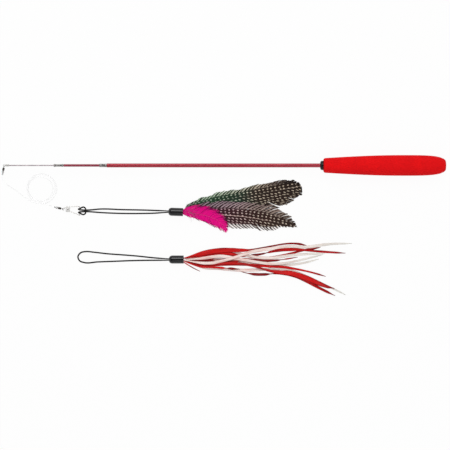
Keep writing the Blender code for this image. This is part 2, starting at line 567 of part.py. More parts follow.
def build_handle(base, tip_height, looks):
    """Build the handle: foam grip, core, outer tube, its front collar and its rear plug."""
    hub = Frame("wand_axis", (0.0, 0.0, tip_height), base)
    collar_front = ROD_SHOWN + MIDDLE_COLLAR_SHOWN + MIDDLE_TUBE_SHOWN
    tube_front = collar_front + OUTER_COLLAR_SHOWN
    nose_front = tube_front + OUTER_TUBE_SHOWN
    grip_front = nose_front + NOSE_LENGTH
    hub.hang("grip", turned("grip", grip_outline(grip_front), GRIP_SEGMENTS), looks["foam"])

    core_end = grip_front + GRIP_LENGTH - FOAM_BEHIND_CORE
    tube_end = core_end - CORE_BEHIND_TUBE
    core_bore = OUTER_TUBE_RADIUS + SLIDING_CLEARANCE
    nose_back = grip_front - FACE_GAP
    nose = [(core_end, 0.0), (core_end, CORE_RADIUS), (nose_back, CORE_RADIUS), (nose_back, NOSE_RADIUS)]
    rounded = NOSE_LENGTH * NOSE_ROUNDED_SHARE
    nose += arc((nose_front + rounded, NOSE_TIP_RADIUS), (rounded, NOSE_RADIUS - NOSE_TIP_RADIUS), 90.0, 180.0, 4)
    pocket = tube_end + PLUG_FLANGE + 2.0 * FACE_GAP
    nose += [(nose_front, core_bore), (pocket, core_bore), (pocket, 0.0)]
    hub.hang("grip_core", turned("grip_core", nose, TUBE_SEGMENTS), looks["black_plastic"])

    bore = OUTER_TUBE_RADIUS - OUTER_TUBE_WALL
    wall = [(tube_front, bore), (tube_front, OUTER_TUBE_RADIUS), (tube_end, OUTER_TUBE_RADIUS), (tube_end, bore)]
    hub.hang("outer_tube", turned("outer_tube", wall), looks["red_lacquer"])

    lip = MIDDLE_TUBE_RADIUS + SLIDING_CLEARANCE
    edge = OUTER_COLLAR_RADIUS - lip
    bead = OUTER_TUBE_RADIUS - OUTER_TUBE_WALL
    collar = arc((collar_front + 2.0 * edge, OUTER_COLLAR_RADIUS - edge), (2.0 * edge, edge), 180.0, 90.0, 3)
    shoulder = tube_front - FACE_GAP
    bead_front = shoulder - OUTER_COLLAR_BEAD
    collar += [(bead_front - OUTER_COLLAR_SLOPE, OUTER_COLLAR_RADIUS), (bead_front, bead), (shoulder, bead),
               (shoulder, bore - SLIDING_CLEARANCE), (tube_front + OUTER_COLLAR_SHANK, bore - SLIDING_CLEARANCE),
               (tube_front + OUTER_COLLAR_SHANK, lip)]
    hub.hang("outer_collar", turned("outer_collar", collar), looks["chrome"])

    plug_face = tube_end + FACE_GAP
    plug = [(tube_end - PLUG_LENGTH, 0.0), (tube_end - PLUG_LENGTH, bore - SLIDING_CLEARANCE),
            (plug_face, bore - SLIDING_CLEARANCE), (plug_face, OUTER_TUBE_RADIUS),
            (plug_face + PLUG_FLANGE, OUTER_TUBE_RADIUS), (plug_face + PLUG_FLANGE, 0.0)]
    hub.hang("tube_plug", turned("tube_plug", plug), looks["black_plastic"])
    return hub, grip_front + GRIP_LENGTH


def sleeve(start, length, inner, outer):
    """Give the outline of a plain sleeve."""
    return [(start, inner), (start, outer), (start + length, outer), (start + length, inner)]


def build_middle_section(hub, looks):
    """Build the middle tube, the collar in its mouth and the split brass sleeve on its rear end."""
    frame = Frame("middle_tube_slide", hub.matrix.to_translation(), hub)
    front = ROD_SHOWN + MIDDLE_COLLAR_SHOWN
    rear = front + MIDDLE_TUBE_LENGTH
    bore = MIDDLE_TUBE_RADIUS - MIDDLE_TUBE_WALL
    wall = sleeve(front + FACE_GAP, rear - front - FACE_GAP, bore, MIDDLE_TUBE_RADIUS)
    frame.hang("middle_tube", turned("middle_tube", wall), looks["dark_red_lacquer"])

    lip = ROD_RADIUS + SLIDING_CLEARANCE
    bead = MIDDLE_COLLAR_RADIUS
    waist = MIDDLE_COLLAR_WAIST
    waist_inset = MIDDLE_COLLAR_BEAD + MIDDLE_COLLAR_SLOPE
    collar = [(ROD_SHOWN, lip), (ROD_SHOWN, bead - MIDDLE_COLLAR_CHAMFER), (ROD_SHOWN + MIDDLE_COLLAR_CHAMFER, bead),
              (ROD_SHOWN + MIDDLE_COLLAR_BEAD, bead), (ROD_SHOWN + waist_inset, waist), (front - waist_inset, waist),
              (front - MIDDLE_COLLAR_BEAD, bead), (front, bead), (front, bore - SLIDING_CLEARANCE),
              (front + MIDDLE_COLLAR_SHANK, bore - SLIDING_CLEARANCE), (front + MIDDLE_COLLAR_SHANK, lip)]
    frame.hang("middle_collar", turned("middle_collar", collar), looks["chrome"])

    outer = OUTER_TUBE_RADIUS - OUTER_TUBE_WALL - SLIDING_CLEARANCE
    spring = sleeve(rear - MIDDLE_SLEEVE_LENGTH, MIDDLE_SLEEVE_LENGTH, MIDDLE_TUBE_RADIUS + SLIDING_CLEARANCE, outer)
    frame.hang("middle_friction_sleeve", turned("middle_friction_sleeve", spring,
                                                sweep=360.0 - SLEEVE_SLIT_DEGREES), looks["brass"])
    return frame


def swivel_eye(side, turn_degrees):
    """Make one swivel eye along Z: ring, neck and the head that the barrel holds; side is -1 or 1."""
    barrel_end = BARREL_LENGTH / 2.0
    middle = barrel_end + SWIVEL_NECK + SWIVEL_EYE_WIRE + SWIVEL_EYE_RADIUS
    head_top = barrel_end - BARREL_END_WALL - SWIVEL_HEAD_PLAY
    stem_end = middle - SWIVEL_EYE_RADIUS
    shank = [(side * (head_top - SWIVEL_HEAD_LENGTH), 0.0), (side * (head_top - SWIVEL_HEAD_LENGTH), SWIVEL_HEAD_RADIUS),
             (side * head_top, SWIVEL_HEAD_RADIUS), (side * head_top, STEM_RADIUS),
             (side * stem_end, STEM_RADIUS), (side * stem_end, 0.0)]
    turn = math.radians(turn_degrees)
    across = (math.cos(turn), math.sin(turn), 0.0)
    loop = ring((0.0, 0.0, side * middle), (0.0, 0.0, 1.0), across, SWIVEL_EYE_RADIUS, SWIVEL_EYE_WIRE)
    return combined("eye", turned("shank", shank, 12, axis="Z"), [loop])


def swivel_reach():
    """Give the distance from a barrel's middle to the far wire of either eye."""
    return BARREL_LENGTH / 2.0 + SWIVEL_NECK + SWIVEL_EYE_WIRE + 2.0 * SWIVEL_EYE_RADIUS


def barrel_outline():
    """Give the closed outline of the hollow swivel barrel along Z, with a groove round its waist."""
    end = BARREL_LENGTH / 2.0
    hole = STEM_RADIUS + STEM_CLEARANCE
    inner = end - BARREL_END_WALL
    return [(-end, hole), (-end, BARREL_RADIUS - BARREL_SHOULDER), (-end + BARREL_SHOULDER, BARREL_RADIUS),
            (-BARREL_GROOVE, BARREL_RADIUS), (0.0, BARREL_RADIUS - BARREL_GROOVE), (BARREL_GROOVE, BARREL_RADIUS),
            (end - BARREL_SHOULDER, BARREL_RADIUS), (end, BARREL_RADIUS - BARREL_SHOULDER), (end, hole),
            (inner, hole), (inner, BARREL_BORE), (-inner, BARREL_BORE), (-inner, hole)]


def line_knot(side):
    """Make the line's knot on a swivel eye, along Z: a small loop through the eye and the wound knot."""
    reach = swivel_reach()
    middle = side * (reach - LINK_OVERLAP + KNOT_LOOP_RADIUS)
    loop = ring((0.0, 0.0, middle), (0.0, 0.0, 1.0), (0.0, 1.0, 0.0), KNOT_LOOP_RADIUS, KNOT_LOOP_WIRE)
    start = abs(middle) + KNOT_LOOP_RADIUS - KNOT_LOOP_WIRE
    body = [(side * start, 0.0)]
    for i in range(KNOT_TURNS):
        share = (i + 0.5) / KNOT_TURNS
        swell = KNOT_RADIUS * (1.0 - KNOT_SWELL + KNOT_SWELL * math.sin(math.pi * share))
        body.append((side * (start + KNOT_LENGTH * share), swell - (KNOT_GROOVE if i % 2 else 0.0)))
    body.append((side * (start + KNOT_LENGTH), 0.0))
    return combined("knot", turned("body", body, 12, axis="Z"), [loop]), start + KNOT_LENGTH


def build_swivel(prefix, carrier, centre, turn, looks, eye_names, eye_turns):
    """Build one swivel: both eyes stay with the carrier, the barrel hangs on a frame on its own axis."""
    still = Frame(prefix + "_axis", centre, carrier, turn)
    barrel = Frame(prefix + "_spin", centre, carrier, turn)
    for side, name, degrees in zip((-1, 1), eye_names, eye_turns):
        still.hang(name, swivel_eye(side, degrees), looks["dark_nickel"])
    barrel.hang(prefix + "_barrel", turned(prefix + "_barrel", barrel_outline(), 14, axis="Z"), looks["dark_nickel"])
    return still


def build_rod(middle, tip_height, looks):
    """Build the rod with its sleeve, the ferrule and eye at its tip, and the tip swivel."""
    frame = Frame("inner_rod_slide", middle.matrix.to_translation(), middle)
    frame.hang("inner_rod", turned("inner_rod", [(0.0, 0.0), (0.0, ROD_RADIUS), (ROD_LENGTH, ROD_RADIUS),
                                                 (ROD_LENGTH, 0.0)], 16), looks["steel"])
    outer = MIDDLE_TUBE_RADIUS - MIDDLE_TUBE_WALL - SLIDING_CLEARANCE
    spring = sleeve(ROD_LENGTH - INNER_SLEEVE_LENGTH, INNER_SLEEVE_LENGTH, ROD_RADIUS + SLIDING_CLEARANCE / 2.0, outer)
    frame.hang("inner_friction_sleeve", turned("inner_friction_sleeve", spring, 16,
                                               sweep=360.0 - SLEEVE_SLIT_DEGREES), looks["brass"])

    front = -FERRULE_IN_FRONT
    wall = front + FERRULE_END_WALL
    bore = ROD_RADIUS + SLIDING_CLEARANCE
    hole = STEM_RADIUS + STEM_CLEARANCE
    shell = [(front, hole), (front, FERRULE_RADIUS - FERRULE_CHAMFER), (front + FERRULE_CHAMFER, FERRULE_RADIUS),
             (FERRULE_ON_ROD - FERRULE_CRIMP, FERRULE_RADIUS), (FERRULE_ON_ROD, bore), (wall, bore), (wall, hole)]
    frame.hang("tip_ferrule", turned("tip_ferrule", shell, 16), looks["dark_nickel"])

    head = wall + STEM_CLEARANCE
    eye_far = front - STEM_CLEARANCE
    middle_x = eye_far - TIP_EYE_WIRE - TIP_EYE_RADIUS
    stem = [(head + STEM_HEAD_LENGTH, 0.0), (head + STEM_HEAD_LENGTH, STEM_HEAD_RADIUS), (head, STEM_HEAD_RADIUS),
            (head, STEM_RADIUS), (middle_x + TIP_EYE_RADIUS, STEM_RADIUS), (middle_x + TIP_EYE_RADIUS, 0.0)]
    loop = ring((middle_x, 0.0, 0.0), (1.0, 0.0, 0.0), (0.0, 1.0, 0.0), TIP_EYE_RADIUS, TIP_EYE_WIRE)
    frame.hang("tip_eye", combined("tip_eye", turned("stem", stem, 12), [loop]), looks["dark_nickel"])

    heading = Vector(TIP_SWIVEL_HEADING).normalized()
    flat = Vector((heading.x, heading.y, 0.0)).normalized()
    hooked = Vector((middle_x, 0.0, tip_height)) + flat * TIP_EYE_RADIUS
    centre = hooked + heading * (swivel_reach() - LINK_OVERLAP)
    still = build_swivel("tip_swivel", frame, centre, along(heading), looks,
                         ("tip_swivel_eye_upper", "tip_swivel_eye_lower"), (90.0, 0.0))
    knot, knot_end = line_knot(1)
    still.hang("line_knot_top", knot, looks["nylon"])
    return frame, centre + heading * (knot_end + FACE_GAP)


def coil_points():
    """Work out the coil: it spirals in on the table, climbs one layer, and spirals out again on top."""
    count = int(COIL_TURNS * COIL_POINTS_PER_TURN)
    points = []
    for i in range(count + 1):
        share = i / count
        turns = COIL_TURNS * share
        inward = COIL_TURNS / 2.0 - abs(turns - COIL_TURNS / 2.0)
        climb = min(max((turns - COIL_TURNS / 2.0) / COIL_CLIMB_TURNS + 0.5, 0.0), 1.0)
        radius = COIL_OUTER_RADIUS - COIL_PITCH * inward
        angle = math.radians(COIL_START_DEGREES + 360.0 * turns)
        height = LINE_RADIUS / MM + COIL_LAYER_STEP * climb * climb * (3.0 - 2.0 * climb)
        points.append((COIL_CENTRE[0] - COIL_DRIFT * COIL_PITCH * inward + radius * math.cos(angle),
                       COIL_CENTRE[1] + radius * math.sin(angle), height))
    return scaled(points)


def shortened(points, cut):
    """Take a length off the end of a route."""
    back = (points[-2] - points[-1]).normalized()
    return points[:-1] + [points[-1] + back * cut]


def build_line(rod, knot_top, looks):
    """Build the nylon line: upper stretch, coil, lower stretch and the knot on the snap's swivel."""
    coil = coil_points()
    upper = smooth_route([knot_top] + scaled(LINE_UPPER_ROUTE) + [coil[0]], 2.0 * MM)
    rod.hang("line_upper_run", wire_curve("line_upper_run", rod.local(shortened(upper, FACE_GAP)), LINE_RADIUS),
             looks["nylon"])
    rod.hang("line_coil", wire_curve("line_coil", rod.local(coil), LINE_RADIUS, rounding=1), looks["nylon"])

    heading = Vector(SNAP_SWIVEL_HEADING).normalized()
    centre = Vector(SNAP_SWIVEL_CENTRE)
    still = build_swivel("snap_swivel", rod, centre, along(heading), looks,
                         ("snap_swivel_eye_line", "snap_swivel_eye_snap"), (0.0, 90.0))
    knot, knot_end = line_knot(-1)
    still.hang("line_knot_bottom", knot, looks["nylon"])
    knot_tail = centre - heading * (knot_end + FACE_GAP)
    lower = smooth_route([coil[-1]] + scaled(LINE_LOWER_ROUTE) + [knot_tail], 2.0 * MM)
    lower = list(reversed(shortened(list(reversed(lower)), FACE_GAP)))
    rod.hang("line_lower_run", wire_curve("line_lower_run", rod.local(lower), LINE_RADIUS), looks["nylon"])
    return centre + heading * (swivel_reach() - LINK_OVERLAP)


def disc(centre, radius, low, high, segments=16):
    """Make a short upright cylinder."""
    outline = [(low, 0.0), (low, radius), (high, radius), (high, 0.0)]
    return moved(turned("disc", outline, segments, axis="Z"), Matrix.Translation((centre[0], centre[1], 0.0)))


def rivet(centre, radius, head_radius, head, low, high):
    """Make an upright rivet whose heads lie outside two heights."""
    crown = head_radius * RIVET_CROWN
    outline = [(low - head, 0.0), (low - head, crown), (low - head / 2.0, head_radius), (low, head_radius),
               (low, radius), (high, radius), (high, head_radius), (high + head / 2.0, head_radius),
               (high + head, crown), (high + head, 0.0)]
    return moved(turned("rivet", outline, 14, axis="Z"), Matrix.Translation((centre[0], centre[1], 0.0)))


def build_snap(rod, hook, looks):
    """Build the snap: wire frame, folded clasp, rivet, hinge pin, and the gate on its own frame."""
    frame = Frame("snap_origin", (hook.x, hook.y, SNAP_HEIGHT), rod)
    onwards = Vector(SNAP_SWIVEL_HEADING[:2]).normalized()
    eye = Vector((hook.x + SNAP_EYE_RADIUS * onwards.x, hook.y + SNAP_EYE_RADIUS * onwards.y, SNAP_HEIGHT))
    loop = [eye + Vector((math.cos(a), math.sin(a), 0.0)) * SNAP_EYE_RADIUS
            for a in (math.radians(-48.0 - 264.0 * i / 14.0) for i in range(15))]
    corner = Vector((SNAP_BAR_X - SNAP_CORNER_RADIUS, SNAP_TOP_Y - SNAP_CORNER_RADIUS, SNAP_HEIGHT))
    bend = [corner + Vector((math.cos(a), math.sin(a), 0.0)) * SNAP_CORNER_RADIUS
            for a in (math.radians(90.0 - 18.0 * i) for i in range(6))]
    knee = Vector((eye.x + SNAP_KNEE[0], eye.y + SNAP_KNEE[1], SNAP_HEIGHT))
    shoulder = Vector((eye.x + SNAP_SHOULDER[0], SNAP_TOP_Y - SNAP_SHOULDER[1], SNAP_HEIGHT))
    leg = smooth_route([loop[-1], knee, shoulder, bend[0]], 2.2 * MM)
    bar_low = Vector((SNAP_BAR_X, SNAP_PIVOT[1] + SNAP_LUG_RADIUS + SNAP_WIRE_RADIUS, SNAP_HEIGHT))
    lug_top = SNAP_HEIGHT - SNAP_LUG_GAP / 2.0
    lug_low = lug_top - SNAP_LUG_THICKNESS
    wire = loop + leg[1:-1] + bend + [bar_low, Vector((SNAP_PIVOT[0], SNAP_PIVOT[1] + SNAP_LUG_RADIUS * LUG_SHARE,
                                                       (lug_top + lug_low) / 2.0))]
    body = as_mesh("wire", wire_curve("wire", wire, SNAP_WIRE_RADIUS))
    hole = disc(SNAP_PIVOT, SNAP_PIN_RADIUS + SNAP_PIN_CLEARANCE, 0.0, 2.0 * SNAP_HEIGHT)
    keep_clear = disc(SNAP_PIVOT, SNAP_LUG_RADIUS + SNAP_WIRE_RADIUS, lug_top, 2.0 * SNAP_HEIGHT)
    low_clear = disc(SNAP_PIVOT, SNAP_LUG_RADIUS + SNAP_WIRE_RADIUS, 0.0, lug_low)
    lug = disc(SNAP_PIVOT, SNAP_LUG_RADIUS, lug_low, lug_top)
    body = combined("snap_frame", combined("joined", body, [lug]), [hole, keep_clear, low_clear], "DIFFERENCE")
    frame.hang("snap_frame", moved(body, frame.matrix.inverted()), looks["bright_nickel"])

    gate = Frame("snap_gate_hinge", (*SNAP_PIVOT, SNAP_HEIGHT), rod)
    gate_low = SNAP_HEIGHT + SNAP_LUG_GAP / 2.0
    gate_high = gate_low + SNAP_LUG_THICKNESS
    out = (Vector(GATE_TIP) - Vector(SNAP_PIVOT)).normalized()
    start = Vector(SNAP_PIVOT) + out * (SNAP_LUG_RADIUS * LUG_SHARE)
    level = (gate_low + gate_high) / 2.0
    drop = Vector(SNAP_PIVOT) + out * GATE_STEP_END
    route = [Vector((*start, level)), Vector((*(start + out * GATE_STRAIGHT), level)), Vector((*drop, SNAP_HEIGHT)),
             Vector((*GATE_TIP, SNAP_HEIGHT))]
    arm = as_mesh("arm", wire_curve("arm", route, SNAP_WIRE_RADIUS))
    above = disc(SNAP_PIVOT, SNAP_LUG_RADIUS + SNAP_WIRE_RADIUS, gate_high, 2.0 * SNAP_HEIGHT)
    below = disc(SNAP_PIVOT, SNAP_LUG_RADIUS + SNAP_LUG_GAP, 0.0, gate_low)
    arm = combined("arm", combined("arm", arm, [disc(SNAP_PIVOT, SNAP_LUG_RADIUS, gate_low, gate_high)]),
                   [hole.copy(), above, below], "DIFFERENCE")
    gate.hang("snap_gate", moved(arm, gate.matrix.inverted()), looks["bright_nickel"])

    pin = rivet(SNAP_PIVOT, SNAP_PIN_RADIUS, SNAP_PIN_HEAD_RADIUS, SNAP_PIN_HEAD,
                lug_low - SNAP_PIN_CLEARANCE, gate_high + SNAP_PIN_CLEARANCE)
    frame.hang("snap_hinge_pin", moved(pin, frame.matrix.inverted()), looks["dark_nickel"])

    half = SNAP_WIRE_RADIUS + FACE_GAP + CLASP_SHEET
    spine_y = CLASP_HIGH[1]
    outer = block((CLASP_LOW[0], CLASP_LOW[1], SNAP_HEIGHT - half), (CLASP_HIGH[0], spine_y, SNAP_HEIGHT + half))
    slot = block((CLASP_LOW[0] - CUT_OVERSHOOT, CLASP_LOW[1] - CUT_OVERSHOOT, SNAP_HEIGHT - half + CLASP_SHEET),
                 (CLASP_HIGH[0] + CUT_OVERSHOOT, spine_y - CLASP_SHEET, SNAP_HEIGHT + half - CLASP_SHEET))
    rivet_hole = disc(CLASP_RIVET, RIVET_RADIUS + SNAP_PIN_CLEARANCE, 0.0, 2.0 * SNAP_HEIGHT)
    clasp = combined("snap_clasp", outer, [slot, rivet_hole], "DIFFERENCE")
    frame.hang("snap_clasp", moved(clasp, frame.matrix.inverted()), looks["bright_nickel"])
    joint = rivet(CLASP_RIVET, RIVET_RADIUS, RIVET_HEAD_RADIUS, RIVET_HEAD,
                  SNAP_HEIGHT - half - SNAP_PIN_CLEARANCE, SNAP_HEIGHT + half + SNAP_PIN_CLEARANCE)
    frame.hang("snap_rivet", moved(joint, frame.matrix.inverted()), looks["dark_nickel"])


def cap_outline():
    """Give the closed outline of a moulded cap along Z, from its domed end at 0 to its open mouth."""
    inner = CAP_RADIUS - CAP_WALL
    dome = arc((CAP_DOME, CAP_HOLE), (CAP_DOME, CAP_RADIUS - CAP_HOLE), 180.0, 90.0, 5)
    hollow = arc((CAP_DOME + CAP_WALL, CAP_HOLE), (CAP_DOME, inner - CAP_HOLE), 90.0, 180.0, 3)
    mouth = [(CAP_LENGTH - CAP_LIP, CAP_RADIUS), (CAP_LENGTH, CAP_RADIUS - CAP_LIP), (CAP_LENGTH, inner)]
    return dome + mouth + hollow


def build_cap(prefix, carrier, apex, heading_degrees, looks):
    """Build a cap with the cord's stopper knot and the binding inside it, and give the binding's end."""
    turn = math.radians(heading_degrees)
    heading = (math.cos(turn), math.sin(turn), 0.0)
    frame = Frame(prefix + "_cap_axis", (*apex, CAP_RADIUS), carrier, along(heading))
    frame.hang(prefix + "_cap", turned(prefix + "_cap", cap_outline(), CAP_SEGMENTS, axis="Z"), looks["gloss_black"])
    stopper = arc((CORD_KNOT_FROM_APEX + CORD_KNOT_LENGTH / 2.0, 0.0), (CORD_KNOT_LENGTH / 2.0, CORD_KNOT_RADIUS),
                  180.0, 0.0, 8)
    stopper = [(a, max(r, 0.0)) for a, r in stopper]
    frame.hang(prefix + "_cord_knot", turned("knot", stopper, 14, axis="Z"), looks["elastic"])
    start = CORD_KNOT_FROM_APEX + CORD_KNOT_LENGTH + FACE_GAP
    wound = [(start, 0.0)]
    for i in range(BINDING_TURNS):
        low = start + BINDING_LENGTH * i / BINDING_TURNS
        wound += [(low, BINDING_RADIUS - BINDING_TURN_DEPTH), (low + BINDING_LENGTH / BINDING_TURNS / 2.0, BINDING_RADIUS)]
    end = start + BINDING_LENGTH
    wound += [(end, BINDING_RADIUS - BINDING_TURN_DEPTH), (end, 0.0)]
    frame.hang(prefix + "_binding", turned("binding", wound, 14, axis="Z"), looks["thread"])
    return frame.matrix @ Vector((0.0, 0.0, end + FACE_GAP))


def feather(name, frame, rachis, upper, lower, material):
    """Build one feather: a cambered vane with clumped, swept barbs on both sides of a raised rachis."""
    length = sum((Vector(b) - Vector(a)).length for a, b in zip(rachis, rachis[1:]))
    stem = smooth_route(rachis, CLUMP_PITCH / 2.0)
    rows = []
    for i, point in enumerate(stem):
        t = i / (len(stem) - 1)
        ahead = (stem[min(i + 1, len(stem) - 1)] - stem[max(i - 1, 0)]).normalized()
        side = Vector((-ahead.y, ahead.x, 0.0)).normalized()
        notch = 1.0 - (CLUMP_NOTCH if i % 2 else 0.0)
        row = []
        for table, sign in ((lower, -1.0), (upper, 1.0)):
            width = eased(table, t)
            reach = width * (notch if width > CLUMP_LEAST_WIDTH else 1.0)
            sweep = min(BARB_SWEEP * reach, (1.0 - t) * length * 0.8) * min(1.0, t * 5.0)
            edge = point + side * sign * reach + ahead * sweep
            edge.z = max(edge.z - VANE_CAMBER * reach, VANE_THICKNESS / MM / 2.0 + 0.1)
            stem_edge = point + side * sign * min(RACHIS_HALF_WIDTH * (1.0 - 0.5 * t), reach * 0.8)
            row.append((edge, stem_edge))
        (low_edge, low_stem), (high_edge, high_stem) = row
        rows.append([p * MM for p in (low_edge, low_stem, point, high_stem, high_edge)])
    ridge = VANE_THICKNESS + RACHIS_RIDGE
    local_rows = [frame.local(row) for row in rows]
    mesh = slab(name, local_rows, [VANE_THICKNESS, VANE_THICKNESS, ridge, VANE_THICKNESS, VANE_THICKNESS])
    frame.hang(name, mesh, material)


def build_feather_toy(rod, looks):
    """Build the feather toy on a frame on the bar of the snap: hitch, two strands, cap and feathers."""
    bar_middle = (SNAP_BAR_X, HITCH_CENTRE_Y * MM, SNAP_HEIGHT)
    frame = Frame("feather_toy_swing", bar_middle, rod)
    back = tuple((u, -v, z) for u, v, z in reversed(HITCH_HALF[:-1]))
    hitch = smooth_route([(SNAP_BAR_X / MM + u, HITCH_CENTRE_Y + v, z) for u, v, z in HITCH_HALF + back], 1.1)
    frame.hang("feather_hitch", wire_curve("feather_hitch", frame.local(scaled(hitch)), ELASTIC_RADIUS),
               looks["elastic"])
    for name, route in (("feather_strand_upper", STRAND_UPPER_ROUTE), ("feather_strand_lower", STRAND_LOWER_ROUTE)):
        points = smooth_route(scaled(route), ELASTIC_SPACING * MM)
        frame.hang(name, wire_curve(name, frame.local(points), ELASTIC_RADIUS), looks["elastic"])
    build_cap("feather", frame, FEATHER_CAP_AT, FEATHER_CAP_HEADING, looks)
    feather("guinea_feather_green", frame, GREEN_RACHIS, GREEN_UPPER, GREEN_LOWER, looks["green_feather"])
    feather("guinea_feather_pink", frame, PINK_RACHIS, PINK_UPPER, PINK_LOWER, looks["pink_feather"])
    feather("pink_hackle", frame, HACKLE_RACHIS, HACKLE_UPPER, HACKLE_LOWER, looks["hackle"])


def ribbon(name, frame, root, layer, place, route, material):
    """Build one ribbon: rooted at the binding, spreading to its width, and cut to a point."""
    start = Vector((root.x / MM, root.y / MM + place * RIBBON_ROOT_PITCH,
                    root.z / MM + (layer - RIBBON_MIDDLE_LAYER) * RIBBON_ROOT_LAYER_STEP))
    mouth = Vector((start.x + RIBBON_MOUTH, start.y, start.z))
    level = RIBBON_FIRST_LAYER + (layer - 1.0) * RIBBON_LAYER_HEIGHT
    stem = [start] + smooth_route([mouth] + [Vector((x, y, level)) for x, y, _ in route], RIBBON_STATION)
    widths = [(x, width) for x, _, width in route]
    reach = sum((b - a).length for a, b in zip(stem, stem[1:]))
    rows, done = [], 0.0
    for i, point in enumerate(stem):
        done += (point - stem[i - 1]).length if i else 0.0
        ahead = (stem[min(i + 1, len(stem) - 1)] - stem[max(i - 1, 0)]).normalized()
        side = Vector((-ahead.y, ahead.x, 0.0)).normalized()
        opened = min(max(done - RIBBON_FLARE_START, 0.0) / RIBBON_FLARE, 1.0)
        closing = min((reach - done) / RIBBON_TAPER, 1.0)
        full = eased(widths, max(point.x, widths[0][0])) / 2.0
        half = RIBBON_ROOT_HALF_WIDTH + (full - RIBBON_ROOT_HALF_WIDTH) * opened
        half = RIBBON_TIP_HALF_WIDTH + (half - RIBBON_TIP_HALF_WIDTH) * closing
        wave = RIBBON_WAVE * math.sin(2.0 * math.pi * (point.x - mouth.x) / RIBBON_WAVE_LENGTH) * opened
        middle = Vector((point.x, point.y, point.z + wave))
        rows.append([(middle - side * half) * MM, (middle + side * half) * MM])
    frame.hang(name, slab(name, [frame.local(row) for row in rows], [RIBBON_THICKNESS] * 2), material)


def build_ribbon_toy(base, looks):
    """Build the spare ribbon toy: its elastic loop, cap, binding and the two colours of ribbon."""
    frame = Frame("ribbon_toy_lift", (*RIBBON_CAP_AT, 0.0), base)
    points = smooth_route(scaled(LOOP_ROUTE), ELASTIC_SPACING * MM)
    frame.hang("ribbon_loop", wire_curve("ribbon_loop", frame.local(points), ELASTIC_RADIUS), looks["elastic"])
    root = build_cap("ribbon", frame, RIBBON_CAP_AT, RIBBON_CAP_HEADING, looks)
    counts = {RED: 0, PEARL: 0}
    for colour, layer, place, route in RIBBONS:
        counts[colour] += 1
        ribbon(f"{colour}_ribbon_{counts[colour]}", frame, root, layer, place, route, looks[colour])


CORD_NODES = ("line_upper_run", "line_coil", "line_lower_run", "line_knot_top", "line_knot_bottom",
              "snap_swivel_eye_line", "snap_swivel_eye_snap", "snap_swivel_barrel", "snap_frame", "snap_clasp",
              "snap_rivet", "snap_hinge_pin", "snap_gate", "feather_hitch", "feather_strand_upper",
              "feather_strand_lower", "ribbon_loop")


def settle_origin(base):
    """Shift the whole so that the origin lies on the table under the middle of the box without the cords."""
    bpy.context.view_layer.update()
    graph = bpy.context.evaluated_depsgraph_get()
    corners = []
    for item in bpy.data.objects:
        if item.type == "EMPTY" or item.name in CORD_NODES:
            continue
        shown = item.evaluated_get(graph)
        mesh = shown.to_mesh()
        corners += [shown.matrix_world @ vertex.co for vertex in mesh.vertices]
        shown.to_mesh_clear()
    low = Vector([min(corner[axis] for corner in corners) for axis in range(3)])
    high = Vector([max(corner[axis] for corner in corners) for axis in range(3)])
    base.empty.location = (-(low.x + high.x) / 2.0, -(low.y + high.y) / 2.0, -low.z)
    bpy.context.view_layer.update()
    print("layout origin in the world, mm:", [round(value / MM, 4) for value in base.empty.location])
    print("lowest and highest corners, mm:", [round(v / MM, 3) for v in low], [round(v / MM, 3) for v in high])


def main():
    """Build every sub-assembly and settle the origin."""
    clear_scene()
    looks = {
        "foam": finish("eva_foam_red", "D8161C", 0.75),
        "black_plastic": finish("black_plastic", "151314", 0.3),
        "red_lacquer": finish("red_lacquer", "A8323F", 0.25, 0.6),
        "dark_red_lacquer": finish("dark_red_lacquer", "8C4450", 0.3, 0.6),
        "chrome": finish("chrome", "C9C9CC", 0.12, 1.0),
        "steel": finish("steel", "B4A9AC", 0.28, 1.0),
        "brass": finish("brass", "B5935A", 0.3, 1.0),
        "dark_nickel": finish("dark_nickel", "3C3834", 0.35, 1.0),
        "bright_nickel": finish("bright_nickel", "D6D4D0", 0.2, 1.0),
        "nylon": finish("nylon_line", "E4E4E2", 0.2),
        "elastic": finish("black_elastic", "26231F", 0.8),
        "gloss_black": finish("gloss_black", "0E0E10", 0.2),
        "thread": finish("binding_thread", "3A2A2C", 0.8),
        "green_feather": finish("green_guinea_feather", "3E5A3C", 0.8),
        "pink_feather": finish("pink_guinea_feather", "5A2A34", 0.8),
        "hackle": finish("pink_hackle_feather", "E0148A", 0.8),
        RED: finish("red_ribbon", "C4161C", 0.4),
        PEARL: finish("pearl_ribbon", "F0DEDA", 0.3),
    }
    base = Frame("layout_origin", (0.0, 0.0, 0.0))
    tip_height = GRIP_BELLY_RADIUS
    hub, butt = build_handle(base, tip_height, looks)
    middle = build_middle_section(hub, looks)
    rod, knot_top = build_rod(middle, tip_height, looks)
    hook = build_line(rod, knot_top, looks)
    build_snap(rod, hook, looks)
    build_feather_toy(rod, looks)
    build_ribbon_toy(base, looks)
    settle_origin(base)
    print("butt face at layout X, mm:", round(butt / MM, 3))


main()
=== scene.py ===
"""Looks of a telescopic cat teaser wand with its nylon line, snap, feather toy and spare ribbon toy.

Places are written in the layout's millimetres: X runs from the tip of the rod towards the butt of the
grip, Y = 0 is the wand's axis and Z = 0 is the table. The function placed turns them into the frame.
"""
import json
import logging
import math
import random
from dataclasses import dataclass
from enum import Enum

import bmesh
import bpy
from mathutils import Matrix, Vector


